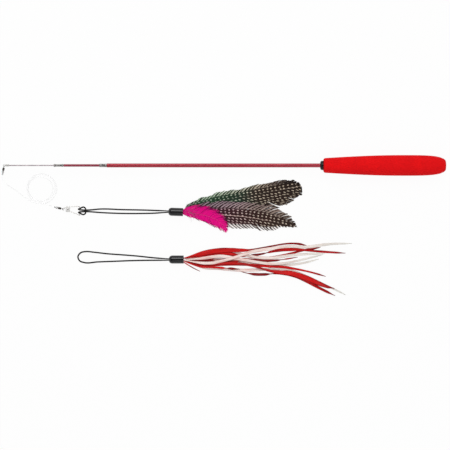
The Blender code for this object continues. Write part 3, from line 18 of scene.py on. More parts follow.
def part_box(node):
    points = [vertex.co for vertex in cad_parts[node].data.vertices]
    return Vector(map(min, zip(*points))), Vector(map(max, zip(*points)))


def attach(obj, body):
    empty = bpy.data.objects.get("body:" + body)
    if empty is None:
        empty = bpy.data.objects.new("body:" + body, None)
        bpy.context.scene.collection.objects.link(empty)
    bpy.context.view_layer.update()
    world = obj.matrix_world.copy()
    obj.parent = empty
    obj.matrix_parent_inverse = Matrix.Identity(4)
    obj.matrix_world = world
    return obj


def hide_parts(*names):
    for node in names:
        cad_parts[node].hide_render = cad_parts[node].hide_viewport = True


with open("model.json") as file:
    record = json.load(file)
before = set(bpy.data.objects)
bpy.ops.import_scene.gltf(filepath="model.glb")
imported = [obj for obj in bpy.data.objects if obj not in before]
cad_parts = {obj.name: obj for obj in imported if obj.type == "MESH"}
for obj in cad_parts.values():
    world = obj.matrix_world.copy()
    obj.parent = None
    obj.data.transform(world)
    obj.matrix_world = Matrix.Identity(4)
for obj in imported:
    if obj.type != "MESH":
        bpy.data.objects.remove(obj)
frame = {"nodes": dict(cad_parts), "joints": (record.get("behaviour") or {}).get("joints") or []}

LOG = logging.getLogger("teaser_wand")
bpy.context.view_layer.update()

MM = 0.001
FULL_TURN = 2.0 * math.pi
BUTT_X = 438.3
GRIP_LOW, GRIP_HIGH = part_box("grip")
AXIS_Y = (GRIP_LOW.y + GRIP_HIGH.y) / 2.0
AXIS_Z = (GRIP_LOW.z + GRIP_HIGH.z) / 2.0
SHIFT = Vector((GRIP_HIGH.x - BUTT_X * MM, AXIS_Y, 0.0))
X_AXIS, Y_AXIS, Z_AXIS = Vector((1.0, 0.0, 0.0)), Vector((0.0, 1.0, 0.0)), Vector((0.0, 0.0, 1.0))

Pair = tuple[float, float]
Point = tuple[float, float, float]
Table = tuple[Pair, ...]
Stops = tuple[tuple[float, str], ...]


class Body(Enum):
    """The CAD bodies that the pieces ride on."""

    HANDLE = "handle"
    MIDDLE = "middle_section"
    ROD = "rod_and_line"
    TIP_BARREL = "tip_barrel"
    SNAP_BARREL = "snap_barrel"
    GATE = "gate"
    FEATHERS = "feather_toy"
    RIBBONS = "ribbon_toy"


def placed(point: Point | Vector) -> Vector:
    """Turn a layout point in millimetres into the frame's metres."""
    return Vector(point) * MM + SHIFT


def joint(name: str) -> tuple[Vector, Vector]:
    """Read a joint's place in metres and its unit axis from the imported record."""
    found = next(item for item in frame["joints"] if item["name"] == name)
    return Vector(found["pos_m"]), Vector(found["axis"]).normalized()


def clamp(value: float, low: float = 0.0, high: float = 1.0) -> float:
    """Keep a value between two limits."""
    return min(max(value, low), high)


def smoothed(share: float) -> float:
    """Ease a share from 0 to 1 with a level start and end."""
    share = clamp(share)
    return share * share * (3.0 - 2.0 * share)


def eased(table: Table, t: float) -> float:
    """Read a table of (place, value) pairs at a place, with smooth steps between the pairs."""
    for (t0, v0), (t1, v1) in zip(table, table[1:]):
        if t <= t1:
            return v0 + (v1 - v0) * smoothed((t - t0) / (t1 - t0))
    return table[-1][1]


def level_turn(angle: float) -> Vector:
    """Give the level unit vector at an angle in radians from the X axis."""
    return Vector((math.cos(angle), math.sin(angle), 0.0))


def left_of(ahead: Vector) -> Vector:
    """Give the level unit vector to the left of a heading."""
    return Vector((-ahead.y, ahead.x, 0.0)).normalized()


def evenly(fine: list[Vector], spacing: float) -> list[Vector]:
    """Read evenly spaced points along a polyline, ends included."""
    reach = [0.0]
    for a, b in zip(fine, fine[1:]):
        reach.append(reach[-1] + (b - a).length)
    count = max(2, round(reach[-1] / spacing))
    even, j = [], 0
    for k in range(count + 1):
        target = reach[-1] * k / count
        while j < len(fine) - 2 and reach[j + 1] < target:
            j += 1
        share = (target - reach[j]) / max(reach[j + 1] - reach[j], 1e-9)
        even.append(fine[j].lerp(fine[j + 1], min(share, 1.0)))
    return even


def smooth_route(points: list[Vector], spacing: float, steps: int = 24) -> list[Vector]:
    """Read evenly spaced points from a smooth curve through a route's own points.

    Args:
        points: the route's points.
        spacing: the distance between the points that are read, in the route's unit.
        steps: the number of fine steps that each span is first cut into.

    Returns:
        The evenly spaced points, ends included.
    """
    knots = [Vector(point) for point in points]
    spans = [(b - a).length for a, b in zip(knots, knots[1:])]
    slopes = [(b - a) / span for a, b, span in zip(knots, knots[1:], spans)]
    inner = [(slopes[i] * spans[i + 1] + slopes[i + 1] * spans[i]) / (spans[i] + spans[i + 1])
             for i in range(len(spans) - 1)]
    tangents = [slopes[0], *inner, slopes[-1]]
    fine = []
    for i, span in enumerate(spans):
        for t in (step / steps for step in range(steps)):
            fine.append(knots[i] * (2.0 * t ** 3 - 3.0 * t * t + 1.0)
                        + tangents[i] * span * (t ** 3 - 2.0 * t * t + t)
                        + knots[i + 1] * (3.0 * t * t - 2.0 * t ** 3)
                        + tangents[i + 1] * span * (t ** 3 - t * t))
    return evenly(fine + [knots[-1]], spacing)


def length_of(points: list[Vector]) -> float:
    """Measure a polyline."""
    return sum((b - a).length for a, b in zip(points, points[1:]))


def arc(centre: Pair, radii: Pair, start: float, end: float, steps: int) -> list[Pair]:
    """Give (along, out) points on a part of an ellipse, between two angles in degrees."""
    angles = [math.radians(start + (end - start) * i / steps) for i in range(steps + 1)]
    return [(centre[0] + radii[0] * math.cos(a), centre[1] + radii[1] * math.sin(a)) for a in angles]


def front_edge(place: float, radius: float, soft: float, steps: int) -> list[Pair]:
    """Round an outline's front edge, from its face out to its side."""
    return arc((place + soft, radius - soft), (soft, soft), 180.0, 90.0, steps)


def rear_edge(place: float, radius: float, soft: float, steps: int) -> list[Pair]:
    """Round an outline's rear edge, from its side in to its face."""
    return arc((place - soft, radius - soft), (soft, soft), 90.0, 0.0, steps)


def groove(place: float, radius: float, half: float, depth: float) -> list[Pair]:
    """Cut a fine groove into an outline's side."""
    return [(place - half, radius), (place, radius - depth), (place + half, radius)]


def chamfered(low: float, high: float, radius: float, edge: float, inner: float) -> list[Pair]:
    """Give the outline of a round bar or tube whose outer edges are chamfered."""
    side = [(low, radius - edge), (low + edge, radius), (high - edge, radius), (high, radius - edge)]
    return [(low, inner), *side, (high, inner)]


# Materials


def rgb(colour: str) -> tuple[float, float, float, float]:
    """Turn an sRGB hex colour into linear channels with full alpha."""
    values = [int(colour[i:i + 2], 16) / 255.0 for i in (0, 2, 4)]
    return (*[v / 12.92 if v <= 0.04045 else ((v + 0.055) / 1.055) ** 2.4 for v in values], 1.0)


def add(tree: bpy.types.NodeTree, kind: str, inputs: dict | None = None,
        **settings: object) -> bpy.types.Node:
    """Add one node to a tree.

    Args:
        tree: the tree that gets the node.
        kind: the node's type, such as ShaderNodeTexNoise.
        inputs: input names or numbers, each with a value or with a socket to link.
        settings: the node's own properties.

    Returns:
        The new node.
    """
    node = tree.nodes.new(kind)
    for name, value in settings.items():
        setattr(node, name, value)
    for key, value in (inputs or {}).items():
        if isinstance(value, bpy.types.NodeSocket):
            tree.links.new(value, node.inputs[key])
        else:
            node.inputs[key].default_value = value
    return node


class Graph:
    """A node tree, with short ways to add the nodes that the finishes are made of.

    Where a method takes a value, it may be a number or a socket, and a colour may be a hex string too.
    """

    def __init__(self, owner: bpy.types.Material | bpy.types.World) -> None:
        """Take up the tree of a material or a world."""
        owner.use_nodes = True
        self.tree = owner.node_tree
        self.shader = self.tree.nodes.get("Principled BSDF")

    def add(self, kind: str, inputs: dict | None = None, **settings: object) -> bpy.types.Node:
        """Add one node to this tree."""
        return add(self.tree, kind, inputs, **settings)

    def feed(self, socket: bpy.types.NodeSocket, name: str = "Base Color") -> None:
        """Link a socket to one of the main shader's inputs."""
        self.tree.links.new(socket, self.shader.inputs[name])

    def place(self) -> bpy.types.NodeSocket:
        """Give the Object coordinates, in metres."""
        return self.add("ShaderNodeTexCoord").outputs["Object"]

    def split(self, vector: bpy.types.NodeSocket) -> bpy.types.NodeOutputs:
        """Split a vector into X, Y and Z."""
        return self.add("ShaderNodeSeparateXYZ", {0: vector}).outputs

    def joined(self, **parts: object) -> bpy.types.NodeSocket:
        """Join X, Y and Z into a vector."""
        return self.add("ShaderNodeCombineXYZ", parts).outputs[0]

    def uv(self, layer: str) -> bpy.types.NodeOutputs:
        """Split one of the piece's own maps into X and Y."""
        return self.split(self.add("ShaderNodeUVMap", uv_map=layer).outputs[0])

    def ramp(self, factor: bpy.types.NodeSocket, stops: Stops) -> bpy.types.NodeSocket:
        """Colour a factor by stops: places from 0 to 1 with their hex colours."""
        node = self.add("ShaderNodeValToRGB", {"Fac": factor})
        elements = node.color_ramp.elements
        while len(elements) < len(stops):
            elements.new(0.5)
        for element, (place, colour) in zip(elements, stops):
            element.position = place
            element.color = rgb(colour)
        return node.outputs["Color"]

    def mix(self, factor: object, first: object, second: object) -> bpy.types.NodeSocket:
        """Mix two colours by a factor."""
        first, second = (rgb(item) if isinstance(item, str) else item for item in (first, second))
        return self.add("ShaderNodeMix", {0: factor, 6: first, 7: second}, data_type="RGBA").outputs[2]

    def calc(self, operation: str, *values: object) -> bpy.types.NodeSocket:
        """Work out one number from one to three values."""
        return self.add("ShaderNodeMath", dict(enumerate(values)), operation=operation).outputs[0]

    def times(self, first: object, second: object) -> bpy.types.NodeSocket:
        """Multiply two values."""
        return self.calc("MULTIPLY", first, second)

    def wave(self, value: bpy.types.NodeSocket, period: float) -> bpy.types.NodeSocket:
        """Give a sine wave from -1 to 1."""
        return self.calc("SINE", self.times(value, FULL_TURN / period))

    def step(self, value: object, low: float, high: float, to_low: float = 0.0,
             to_high: float = 1.0) -> bpy.types.NodeSocket:
        """Map a value smoothly from one range to another, kept inside it."""
        ranges = {"Value": value, "From Min": low, "From Max": high, "To Min": to_low, "To Max": to_high}
        return self.add("ShaderNodeMapRange", ranges, interpolation_type="SMOOTHSTEP").outputs[0]

    def noise(self, vector: bpy.types.NodeSocket, scale: float = 1.0, detail: float = 2.0,
              roughness: float = 0.5) -> bpy.types.NodeSocket:
        """Make noise with so many grains in the vector's unit, and so many finer layers."""
        inputs = {"Vector": vector, "Scale": scale, "Detail": detail, "Roughness": roughness}
        return self.add("ShaderNodeTexNoise", inputs).outputs["Fac"]

    def bump(self, height: bpy.types.NodeSocket, depth_mm: float) -> None:
        """Give the main shader a bump of a real depth in millimetres."""
        inputs = {"Height": height, "Distance": depth_mm * MM, "Strength": 1.0}
        self.feed(self.add("ShaderNodeBump", inputs).outputs["Normal"], "Normal")


@dataclass(frozen=True)
class Finish:
    """A real finish: its name, base colour and surface. Subclasses add its detail."""

    name: str
    colour: str
    roughness: float
    metallic: float = 0.0
    specular: float = 0.5
    settings: tuple[tuple[str, float], ...] = ()

    def make(self) -> bpy.types.Material:
        """Build the material once and give it back from then on."""
        known = bpy.data.materials.get(self.name)
        if known:
            return known
        material = bpy.data.materials.new(self.name)
        graph = Graph(material)
        values = {"Base Color": rgb(self.colour), "Roughness": self.roughness, "Metallic": self.metallic,
                  "Specular IOR Level": self.specular, **dict(self.settings)}
        for socket, value in values.items():
            graph.shader.inputs[socket].default_value = value
        self.detail(graph)
        return material

    def detail(self, graph: Graph) -> None:
        """Add a faint change of roughness, which even a plain moulded face has."""
        mottle = graph.noise(graph.place(), 1.0 / (1.4 * MM), 3.0)
        graph.feed(graph.step(mottle, 0.3, 0.7, self.roughness * 0.85, self.roughness * 1.2), "Roughness")


@dataclass(frozen=True)
class FoamFinish(Finish):
    """Closed-cell EVA foam, ground to shape: matt, with a fine open grain all over and a soft edge sheen."""

    dark: str = "BE0C14"
    light: str = "F82028"
    cell_mm: float = 0.9
    cloud_mm: float = 14.0
    cell_depth_mm: float = 0.12

    def detail(self, graph: Graph) -> None:
        """Colour the ground cells a little darker and lighter, and let them stand in the surface."""
        place = graph.place()
        cells = graph.noise(place, 1.0 / (self.cell_mm * MM), 3.0, 0.7)
        cloud = graph.noise(place, 1.0 / (self.cloud_mm * MM))
        stops = ((0.3, self.dark), (0.46, self.colour), (0.56, self.colour), (0.74, self.light))
        grain = graph.ramp(cells, stops)
        graph.feed(graph.mix(graph.step(cloud, 0.3, 0.7, 0.0, 0.22), grain, self.dark))
        graph.bump(cells, self.cell_depth_mm)


@dataclass(frozen=True)
class DrawnFinish(Finish):
    """Drawn or turned metal, bare, plated or lacquered: fine lines round or along the axis."""

    line_mm: Point = (6.0, 0.25, 0.25)
    shade: str = "000000"
    streak: float = 0.25

    def detail(self, graph: Graph) -> None:
        """Streak the colour and the roughness along the lines."""
        scale = tuple(1.0 / (size * MM) for size in self.line_mm)
        drawn = graph.add("ShaderNodeMapping", {"Vector": graph.place(), "Scale": scale}).outputs[0]
        lines = graph.noise(drawn)
        graph.feed(graph.mix(graph.step(lines, 0.35, 0.75, 0.0, self.streak), self.colour, self.shade))
        graph.feed(graph.step(lines, 0.3, 0.7, self.roughness * 0.8, self.roughness * 1.3), "Roughness")


@dataclass(frozen=True)
class BraidFinish(Finish):
    """Braided elastic cord: strands that cross along the cord, drawn as coarse as they need to show."""

    strand_mm: float = 0.9
    # The colour of the painted highlight on the raised strands
    light: str = "2A2623"
    strands_round: float = 3.0
    strand_depth_mm: float = 0.05

    def detail(self, graph: Graph) -> None:
        """Cross two sets of slanted strands along the cord's own UV map, whose V goes once round the cord."""
        cord = graph.uv("along")
        turns = graph.times(cord["Y"], self.strands_round)
        along = graph.calc("DIVIDE", cord["X"], self.strand_mm)
        waves = [graph.wave(graph.calc("MULTIPLY_ADD", turns, sign, along), 1.0) for sign in (1.0, -1.0)]
        height = graph.calc("MAXIMUM", *waves)
        # Painted highlight: the raised strands are coloured lighter
        graph.feed(graph.mix(graph.step(height, 0.0, 1.0), self.colour, self.light))
        graph.bump(height, self.strand_depth_mm)


@dataclass(frozen=True)
class FeatherFinish(Finish):
    """A guinea fowl feather's vane, dyed from the quill outwards: pale dots in rows on dark barbs.

    It reads two maps: "barbs" has the millimetres along the quill and out along the barb, and "share"
    has the share of the barb's length and a random number for each barb.
    """

    dye: Stops = ()
    dots: Stops = ()
    fringe: Stops = ()
    tips: Stops = ()
    fringe_from: Pair = (0.6, 0.8)
    low_fringe: str = "FAF4F0"
    stripe_mm: float = 3.8
    stripe_edge: Pair = (-0.1, 0.4)
    gap_shade: float = 0.6
    length_mm: float = 122.0
    dot_spacing_mm: Pair = (4.1, 3.8)
    dot_slant: float = 0.5
    dot_radius: float = 0.22
    wear: float = 0.07

    def detail(self, graph: Graph) -> None:
        """Dye the barbs, set the dots in slanted rows, and stripe and fade the barbs' free ends."""
        barbs, share = graph.uv("barbs"), graph.uv("share")
        along = graph.calc("DIVIDE", barbs["X"], self.length_mm)
        worn = graph.calc("MULTIPLY_ADD", graph.calc("SUBTRACT", share["Y"], 0.5), self.wear, along)
        across = graph.calc("DIVIDE", barbs["Y"], self.dot_spacing_mm[1])
        down = graph.calc("DIVIDE", barbs["X"], self.dot_spacing_mm[0])
        slanted = graph.calc("MULTIPLY_ADD", across, self.dot_slant, down)
        cells = graph.add("ShaderNodeTexVoronoi",
                          {"Vector": graph.joined(X=slanted, Y=across), "Scale": 1.0, "Randomness": 0.25},
                          voronoi_dimensions="2D").outputs
        dot = graph.step(cells["Distance"], self.dot_radius * 0.75, self.dot_radius * 1.2, 1.0, 0.0)
        spotted = graph.mix(graph.times(dot, 0.95), graph.ramp(worn, self.dye), graph.ramp(worn, self.dots))
        shaded = graph.mix(graph.step(share["Y"], 0.2, 1.0, 0.0, 0.35), spotted, self.colour)
        ends = graph.times(graph.step(share["X"], 0.75, 1.0), 0.6)
        ended = graph.mix(ends, shaded, graph.ramp(worn, self.tips))
        upper, lower = (graph.step(share["X"], place - soft, place + soft)
                        for place, soft in zip(self.fringe_from, (0.12, 0.06)))
        side = graph.step(barbs["Y"], -0.01, 0.01)
        lower = graph.times(graph.calc("SUBTRACT", 1.0, side), lower)
        zone = graph.calc("ADD", graph.times(side, upper), lower)
        gaps = graph.mix(graph.times(zone, self.gap_shade), ended, self.colour)
        stripe = graph.step(graph.wave(barbs["X"], self.stripe_mm), *self.stripe_edge)
        pale = graph.mix(side, self.low_fringe, graph.ramp(worn, self.fringe))
        graph.feed(graph.mix(graph.times(stripe, zone), gaps, pale))


@dataclass(frozen=True)
class QuillFinish(Finish):
    """A horn-like quill, dyed at its foot and paler or darker along it. It reads the map "share"."""

    stops: Stops = ()

    def detail(self, graph: Graph) -> None:
        """Colour the quill along its length."""
        graph.feed(graph.ramp(graph.uv("share")["X"], self.stops))


@dataclass(frozen=True)
class HackleFinish(Finish):
    """A dyed rooster hackle: bright soft barbs, streaked, with painted shade on the free ends in tufts."""

    light: str = "FF4FB0"
    # The darkest dye tone, and the colour of the painted shade on the tufts
    dark: str = "9A0A5C"
    tuft_mm: float = 9.0

    def detail(self, graph: Graph) -> None:
        """Vary the dye from barb to barb, and paint shade on the free ends in tufts."""
        share, barbs = graph.uv("share"), graph.uv("barbs")
        stops = ((0.0, self.dark), (0.1, self.colour), (0.75, self.colour), (1.0, self.light))
        tone = graph.ramp(share["Y"], stops)
        # Painted shade on the outer ends of the barbs, in tufts along the quill
        outer = graph.step(graph.calc("ABSOLUTE", barbs["Y"]), 1.0, 4.0)
        tufts = graph.step(graph.wave(barbs["X"], self.tuft_mm), -0.4, 0.6)
        painted_tuft_shade = graph.calc("MULTIPLY_ADD", graph.times(outer, tufts), 0.85, 0.1)
        ends = graph.times(graph.step(share["X"], 0.62, 0.9), painted_tuft_shade)
        graph.feed(graph.mix(ends, tone, self.dark))


@dataclass(frozen=True)
class RibbonFinish(Finish):
    """Polyester satin ribbon, heat-cut: a painted lengthwise highlight, painted shade, fine weft threads and
    darker edges.

    It reads three maps: "along" has the millimetres from the cap and the share across, "share" has the
    share of the length, and "turn" has the painted shade where it is turned and a number for each ribbon.
    """

    # Colours of the darker edges, the painted fold shade, the painted shade where turned and at the far end,
    # and the painted highlight
    edge: str = "7E0C14"
    painted_fold_shade: str = "8E0E16"
    turned: str = "5A0A14"
    end: str = "7A0E16"
    gloss: str = "F03A2C"
    end_from: float = 0.85
    fold_mm: float = 15.0
    folds_across: float = 1.8
    fold_spread: float = 37.0
    thread_mm: float = 0.8
    thread_depth_mm: float = 0.03

    def detail(self, graph: Graph) -> None:
        """Paint shade and highlights on folds along the ribbon, weave it, darken its edges, and paint shade
        on its turns and far end.
        """
        strip, share, turn = graph.uv("along"), graph.uv("share"), graph.uv("turn")
        folds = graph.noise(graph.joined(X=graph.calc("DIVIDE", strip["X"], self.fold_mm),
                                         Y=graph.times(strip["Y"], self.folds_across),
                                         Z=graph.times(turn["Y"], self.fold_spread)), detail=2.5)
        middle = graph.calc("ABSOLUTE", graph.calc("SUBTRACT", strip["Y"], 0.5))
        shown = self.colour
        # Painted light: shade on folds, highlights beside them, darker edges, and painted shade on turns and
        # at the far end
        for value, low, high, most, colour in (
                (folds, 0.5, 0.72, 0.85, self.painted_fold_shade), (folds, 0.44, 0.3, 0.8, self.gloss),
                (middle, 0.34, 0.5, 0.75, self.edge), (turn["X"], 0.35, 0.8, 0.85, self.turned),
                (share["X"], self.end_from, 1.0, 0.75, self.end)):
            shown = graph.mix(graph.step(value, low, high, 0.0, most), shown, colour)
        graph.feed(shown)
        weft = graph.wave(strip["X"], self.thread_mm)
        graph.bump(graph.calc("MULTIPLY_ADD", folds, 3.0, weft), self.thread_depth_mm)


class Look(Enum):
    """The finishes of the wand, its line and its two toys."""

    # EVA foam sleeve, ground round: matt and slightly grainy, so its highlight is broad and weak
    FOAM = FoamFinish("eva_foam_ground_red", "F00E12", 0.85, specular=0.1)
    # Injection moulded ABS, polished mould: sharp small highlights on black
    NOSE = Finish("abs_moulded_black", "0E0A0B", 0.22, specular=0.3)
    # Aluminium tube in clear crimson lacquer: a metal glow under a hard gloss
    CRIMSON = DrawnFinish("lacquered_aluminium_crimson", "A81A30", 0.3, 0.4, line_mm=(30.0, 0.3, 0.3),
                          shade="741020", settings=(("Coat Weight", 0.4), ("Coat Roughness", 0.08)))
    # The thinner tube has a darker coat of the same lacquer
    MAROON = DrawnFinish("lacquered_aluminium_maroon", "92203A", 0.3, 0.4, line_mm=(30.0, 0.3, 0.3),
                         shade="561020", settings=(("Coat Weight", 0.4), ("Coat Roughness", 0.1)))
    # Turned brass under bright chrome plate: mirror bands with fine rings round the axis
    CHROME = DrawnFinish("chrome_plate_turned", "8E8A87", 0.14, 1.0, line_mm=(0.3, 8.0, 8.0), shade="4C4A48")
    # Drawn stainless rod, not polished: lines along it spread its highlight; its faint pink tint is a painted
    # reflection
    STEEL = DrawnFinish("stainless_steel_drawn", "B9AEB1", 0.28, 1.0, shade="7E7478")
    # Split friction sleeves of spring brass, inside the tubes
    BRASS = DrawnFinish("spring_brass_rolled", "C29C58", 0.3, 1.0, shade="8A6A34")
    # Black nickel plate on small swivels: dark, with a clear highlight
    DARK_NICKEL = DrawnFinish("black_nickel_plate", "4A4541", 0.24, 1.0, line_mm=(0.3, 4.0, 4.0),
                              shade="1E1A18")
    # Bright nickel plate on the spring wire, the rivet and the pin of the snap, and on the rod's eye
    NICKEL = DrawnFinish("bright_nickel_plate", "E2E0DC", 0.16, 1.0, shade="A8A5A0")
    # Nickel silver, satin, on the rod's ferrule
    SILVER = DrawnFinish("nickel_silver_satin", "C2C0BC", 0.5, 0.25, shade="A4A29E")
    # Tin plate with a satin face on the folded sheet of the snap, its bright reflection painted in as a
    # near-white colour, so it is bright from any side
    TIN = DrawnFinish("tin_plate_satin", "F2F1EE", 0.55, 0.25, shade="D4D2CE")
    # Clear nylon monofilament: it shows mostly by its darker edges and its highlight
    NYLON = Finish("nylon_monofilament_clear", "FFFFFF", 0.1,
                   settings=(("Transmission Weight", 1.0), ("IOR", 1.53)))
    # Elastic cord in a braided black cover: dull, with a painted highlight on its raised crossings
    ELASTIC = BraidFinish("braided_elastic_black", "080707", 0.7, specular=0.25, light="1C1917")
    # Glossy moulded end cap
    CAP = Finish("abs_moulded_gloss_black", "0C0C0E", 0.14)
    # Waxed polyester thread that binds the quills and the ribbons, with a painted highlight on its raised
    # strands
    THREAD = BraidFinish("waxed_thread_dark", "2C2022", 0.6, strand_mm=0.6, light="54484A")
    # Guinea fowl feather dyed green at its quill half: matt barbs with cream dots
    GREEN_VANE = FeatherFinish(
        "guinea_feather_dyed_green", "181210", 0.75, specular=0.15, fringe_from=(0.55, 1.2),
        dye=((0.0, "5C6A5A"), (0.12, "30503A"), (0.3, "24442E"), (0.5, "28392C"), (0.6, "362C25"),
             (0.78, "32241D"), (1.0, "281D18")),
        dots=((0.0, "A8B8A4"), (0.3, "B0C6AC"), (0.5, "D0D4BE"), (0.62, "DCCBB4"), (1.0, "CCBCA6")),
        fringe=((0.0, "8AA68A"), (0.3, "BCD2B6"), (0.5, "CCCAB4"), (0.62, "BCAC98"), (0.75, "6C5C54"),
                (0.85, "2C2220")),
        tips=((0.0, "4A5A48"), (0.4, "34503A"), (0.6, "4A3C34"), (1.0, "2C201E")))
    # The same feather dyed magenta, which shows only in its pale parts and as a red cast on the dark ones
    PINK_VANE = FeatherFinish(
        "guinea_feather_dyed_magenta", "180E0E", 0.75, specular=0.15, fringe_from=(0.5, 0.66),
        dye=((0.0, "6A5862"), (0.15, "4A3A40"), (0.3, "42202A"), (0.5, "3E2424"), (0.75, "3A2820"),
             (1.0, "342822")),
        dots=((0.0, "A090A0"), (0.3, "CCA4B0"), (0.45, "E2C6C2"), (0.65, "E0CEBC"), (1.0, "C8B8A8")),
        fringe=((0.0, "968490"), (0.3, "B49CA4"), (0.55, "AA948C"), (0.75, "98867A"), (0.9, "4A3C36")),
        tips=((0.0, "6A5864"), (0.6, "54443E"), (1.0, "342824")))
    # Rooster hackle dyed fluorescent pink, with painted shade on the ends of its tufts
    HACKLE = HackleFinish("hackle_dyed_hot_pink", "E40484", 0.75, specular=0.1, light="F82490", dark="6E0A48")
    # Horn-like quills: the green feather's is dark until its tip, the other's pale pink, the hackle's dyed
    GREEN_QUILL = QuillFinish("quill_of_green_feather", "2C3A2A", 0.4,
                              stops=((0.0, "4A5A48"), (0.5, "2C3A2A"), (0.78, "5A4A40"), (0.9, "C8B8A8")))
    PINK_QUILL = QuillFinish("quill_of_magenta_feather", "D8B0AC", 0.4, stops=(
        (0.0, "C0305C"), (0.25, "E0608C"), (0.38, "E4C4BC"), (0.62, "C8A8A0"), (0.8, "5C4640")))
    HACKLE_QUILL = QuillFinish("quill_of_hackle", "F01E8C", 0.4, stops=((0.0, "D80A78"), (1.0, "F43AA0")))
    # Undyed grey down at the foot of the feathers, with faint painted shade at the ends of its barbs
    DOWN = HackleFinish("feather_down_grey_mauve", "8A7480", 0.85, specular=0.1, light="B4A2AC",
                        dark="5A4852")
    # Red polyester satin, with painted shade and painted highlights
    RED_SATIN = RibbonFinish("polyester_satin_red", "D20A0A", 0.42, specular=0.2, painted_fold_shade="8A0A10",
                             turned="740C10", gloss="EC1E18")
    # Pearl white polyester satin, thin: its pink tint, strongest at its edges and folds, is a painted red
    # cast from its neighbours
    PEARL_SATIN = RibbonFinish("polyester_satin_pearl", "FFEAE2", 0.36, edge="EC9C94", painted_fold_shade="F2B8B0",
                               turned="B49C92", end="E8ECE4", gloss="FFFFFF", end_from=0.4)


# Meshes


class Form:
    """A mesh under construction, with the UV maps that its material reads."""

    def __init__(self) -> None:
        """Start an empty mesh."""
        self.shape = bmesh.new()
        self.maps: dict[str, dict[bmesh.types.BMVert, Pair]] = {}

    def grid(self, rows: int, columns: int) -> list[list[bmesh.types.BMVert]]:
        """Add a grid of faces whose vertices are placed afterwards, and give its vertices row by row."""
        made = bmesh.ops.create_grid(self.shape, x_segments=columns - 1, y_segments=rows - 1, size=1.0)
        return [made["verts"][i * columns:(i + 1) * columns] for i in range(rows)]

    def mark(self, layer: str, vert: bmesh.types.BMVert, u: float, v: float) -> None:
        """Note a vertex's place on a UV map."""
        self.maps.setdefault(layer, {})[vert] = (u, v)

    def revolve(self, outline: list[Pair], centre: Vector, heading: Vector, steps: int = 64) -> "Form":
        """Spin an outline round an axis.

        Args:
            outline: (along, out) pairs in metres; an end on the axis closes there, and other ends are joined.
            centre: the axis's zero place.
            heading: the axis's direction.
            steps: the number of steps round.

        Returns:
            The form.
        """
        out = heading.orthogonal().normalized()
        corners = [self.shape.verts.new(centre + heading * a + out * r) for a, r in outline]
        edges = [self.shape.edges.new(pair) for pair in zip(corners, corners[1:])]
        if outline[0][1] > 1e-9 or outline[-1][1] > 1e-9:
            edges.append(self.shape.edges.new((corners[-1], corners[0])))
        bmesh.ops.spin(self.shape, geom=corners + edges, cent=centre, axis=heading, angle=FULL_TURN,
                       steps=steps, use_merge=True)
        return self

    def sweep(self, points: list[Vector], radius: float | list[float], sides: int = 12, closed: bool = False,
              flat: float = 1.0, level: Vector | None = None) -> list[list[bmesh.types.BMVert]]:
        """Draw a round or flattened section along a route, with an "along" map: U in mm, V once round.

        Args:
            points: the route in metres.
            radius: the section's radius, or one for each point.
            sides: the number of sides.
            closed: whether the route is a ring.
            flat: the section's height as a share of its width.
            level: a direction that the section stands square to, or None where it may turn with the route.

        Returns:
            The section's vertices, row by row.
        """
        route = points + [points[0]] if closed else points
        last = len(route) - 1
        radii = radius if isinstance(radius, list) else [radius] * len(points)
        rows = self.grid(last + 1, sides + 1)
        first = (route[1] - route[0]).cross(Z_AXIS)
        side = first.normalized() if first.length > 0.1 * (route[1] - route[0]).length else X_AXIS
        done = 0.0
        for i, (point, row) in enumerate(zip(route, rows)):
            before = points[-1] if closed and i == 0 else route[max(i - 1, 0)]
            after = points[1] if closed and i == last else route[min(i + 1, last)]
            ahead = (after - before).normalized()
            if level:
                side = ahead.cross(level)
            side = (side - ahead * side.dot(ahead)).normalized()
            up = side.cross(ahead)
            done += (point - route[i - 1]).length if i else 0.0
            size = radii[i % len(points)]
            for j, vert in enumerate(row):
                angle = FULL_TURN * j / sides
                vert.co = point + (side * math.cos(angle) + up * (math.sin(angle) * flat)) * size
                self.mark("along", vert, done / MM, j / sides)
        return rows

    def finished(self, name: str, look: "Look | bpy.types.Material", smooth_degrees: float = 35.0,
                 thickness: float = 0.0) -> bpy.types.Object:
        """Close the form and turn it into a shaded object at the origin.

        Args:
            name: the piece's name.
            look: its finish or its material.
            smooth_degrees: edges that bend more than this stay sharp.
            thickness: the thickness in metres that an open sheet gets.

        Returns:
            The new object.
        """
        shape = self.shape
        for layer, places in self.maps.items():
            uv = shape.loops.layers.uv.new(layer)
            for face in shape.faces:
                for loop in face.loops:
                    loop[uv].uv = places.get(loop.vert, (0.0, 0.0))
        bmesh.ops.remove_doubles(shape, verts=shape.verts, dist=1e-7)
        if not thickness:
            bmesh.ops.holes_fill(shape, edges=[edge for edge in shape.edges if edge.is_boundary], sides=0)
        bmesh.ops.recalc_face_normals(shape, faces=shape.faces)
        mesh = bpy.data.meshes.new(name)
        shape.to_mesh(mesh)
        shape.free()
        mesh.materials.append(look.value.make() if isinstance(look, Look) else look)
        mesh.shade_smooth()
        mesh.set_sharp_from_angle(angle=math.radians(smooth_degrees))
        made = linked(bpy.data.objects.new(name, mesh))
        if thickness:
            wall = made.modifiers.new("thickness", "SOLIDIFY")
            wall.thickness = thickness
            wall.offset = 0.0
        return made


def linked(made: bpy.types.Object) -> bpy.types.Object:
    """Put an object in the scene."""
    bpy.context.scene.collection.objects.link(made)
    return made


def seated(made: bpy.types.Object, body: Body, *nodes: str) -> bpy.types.Object:
    """Let a piece ride on a body and stand for CAD nodes, and report it."""
    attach(made, body.value)
    if nodes:
        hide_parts(*nodes)
    LOG.info("%s rides on %s, %d faces", made.name, body.value, len(made.data.polygons))
    return made


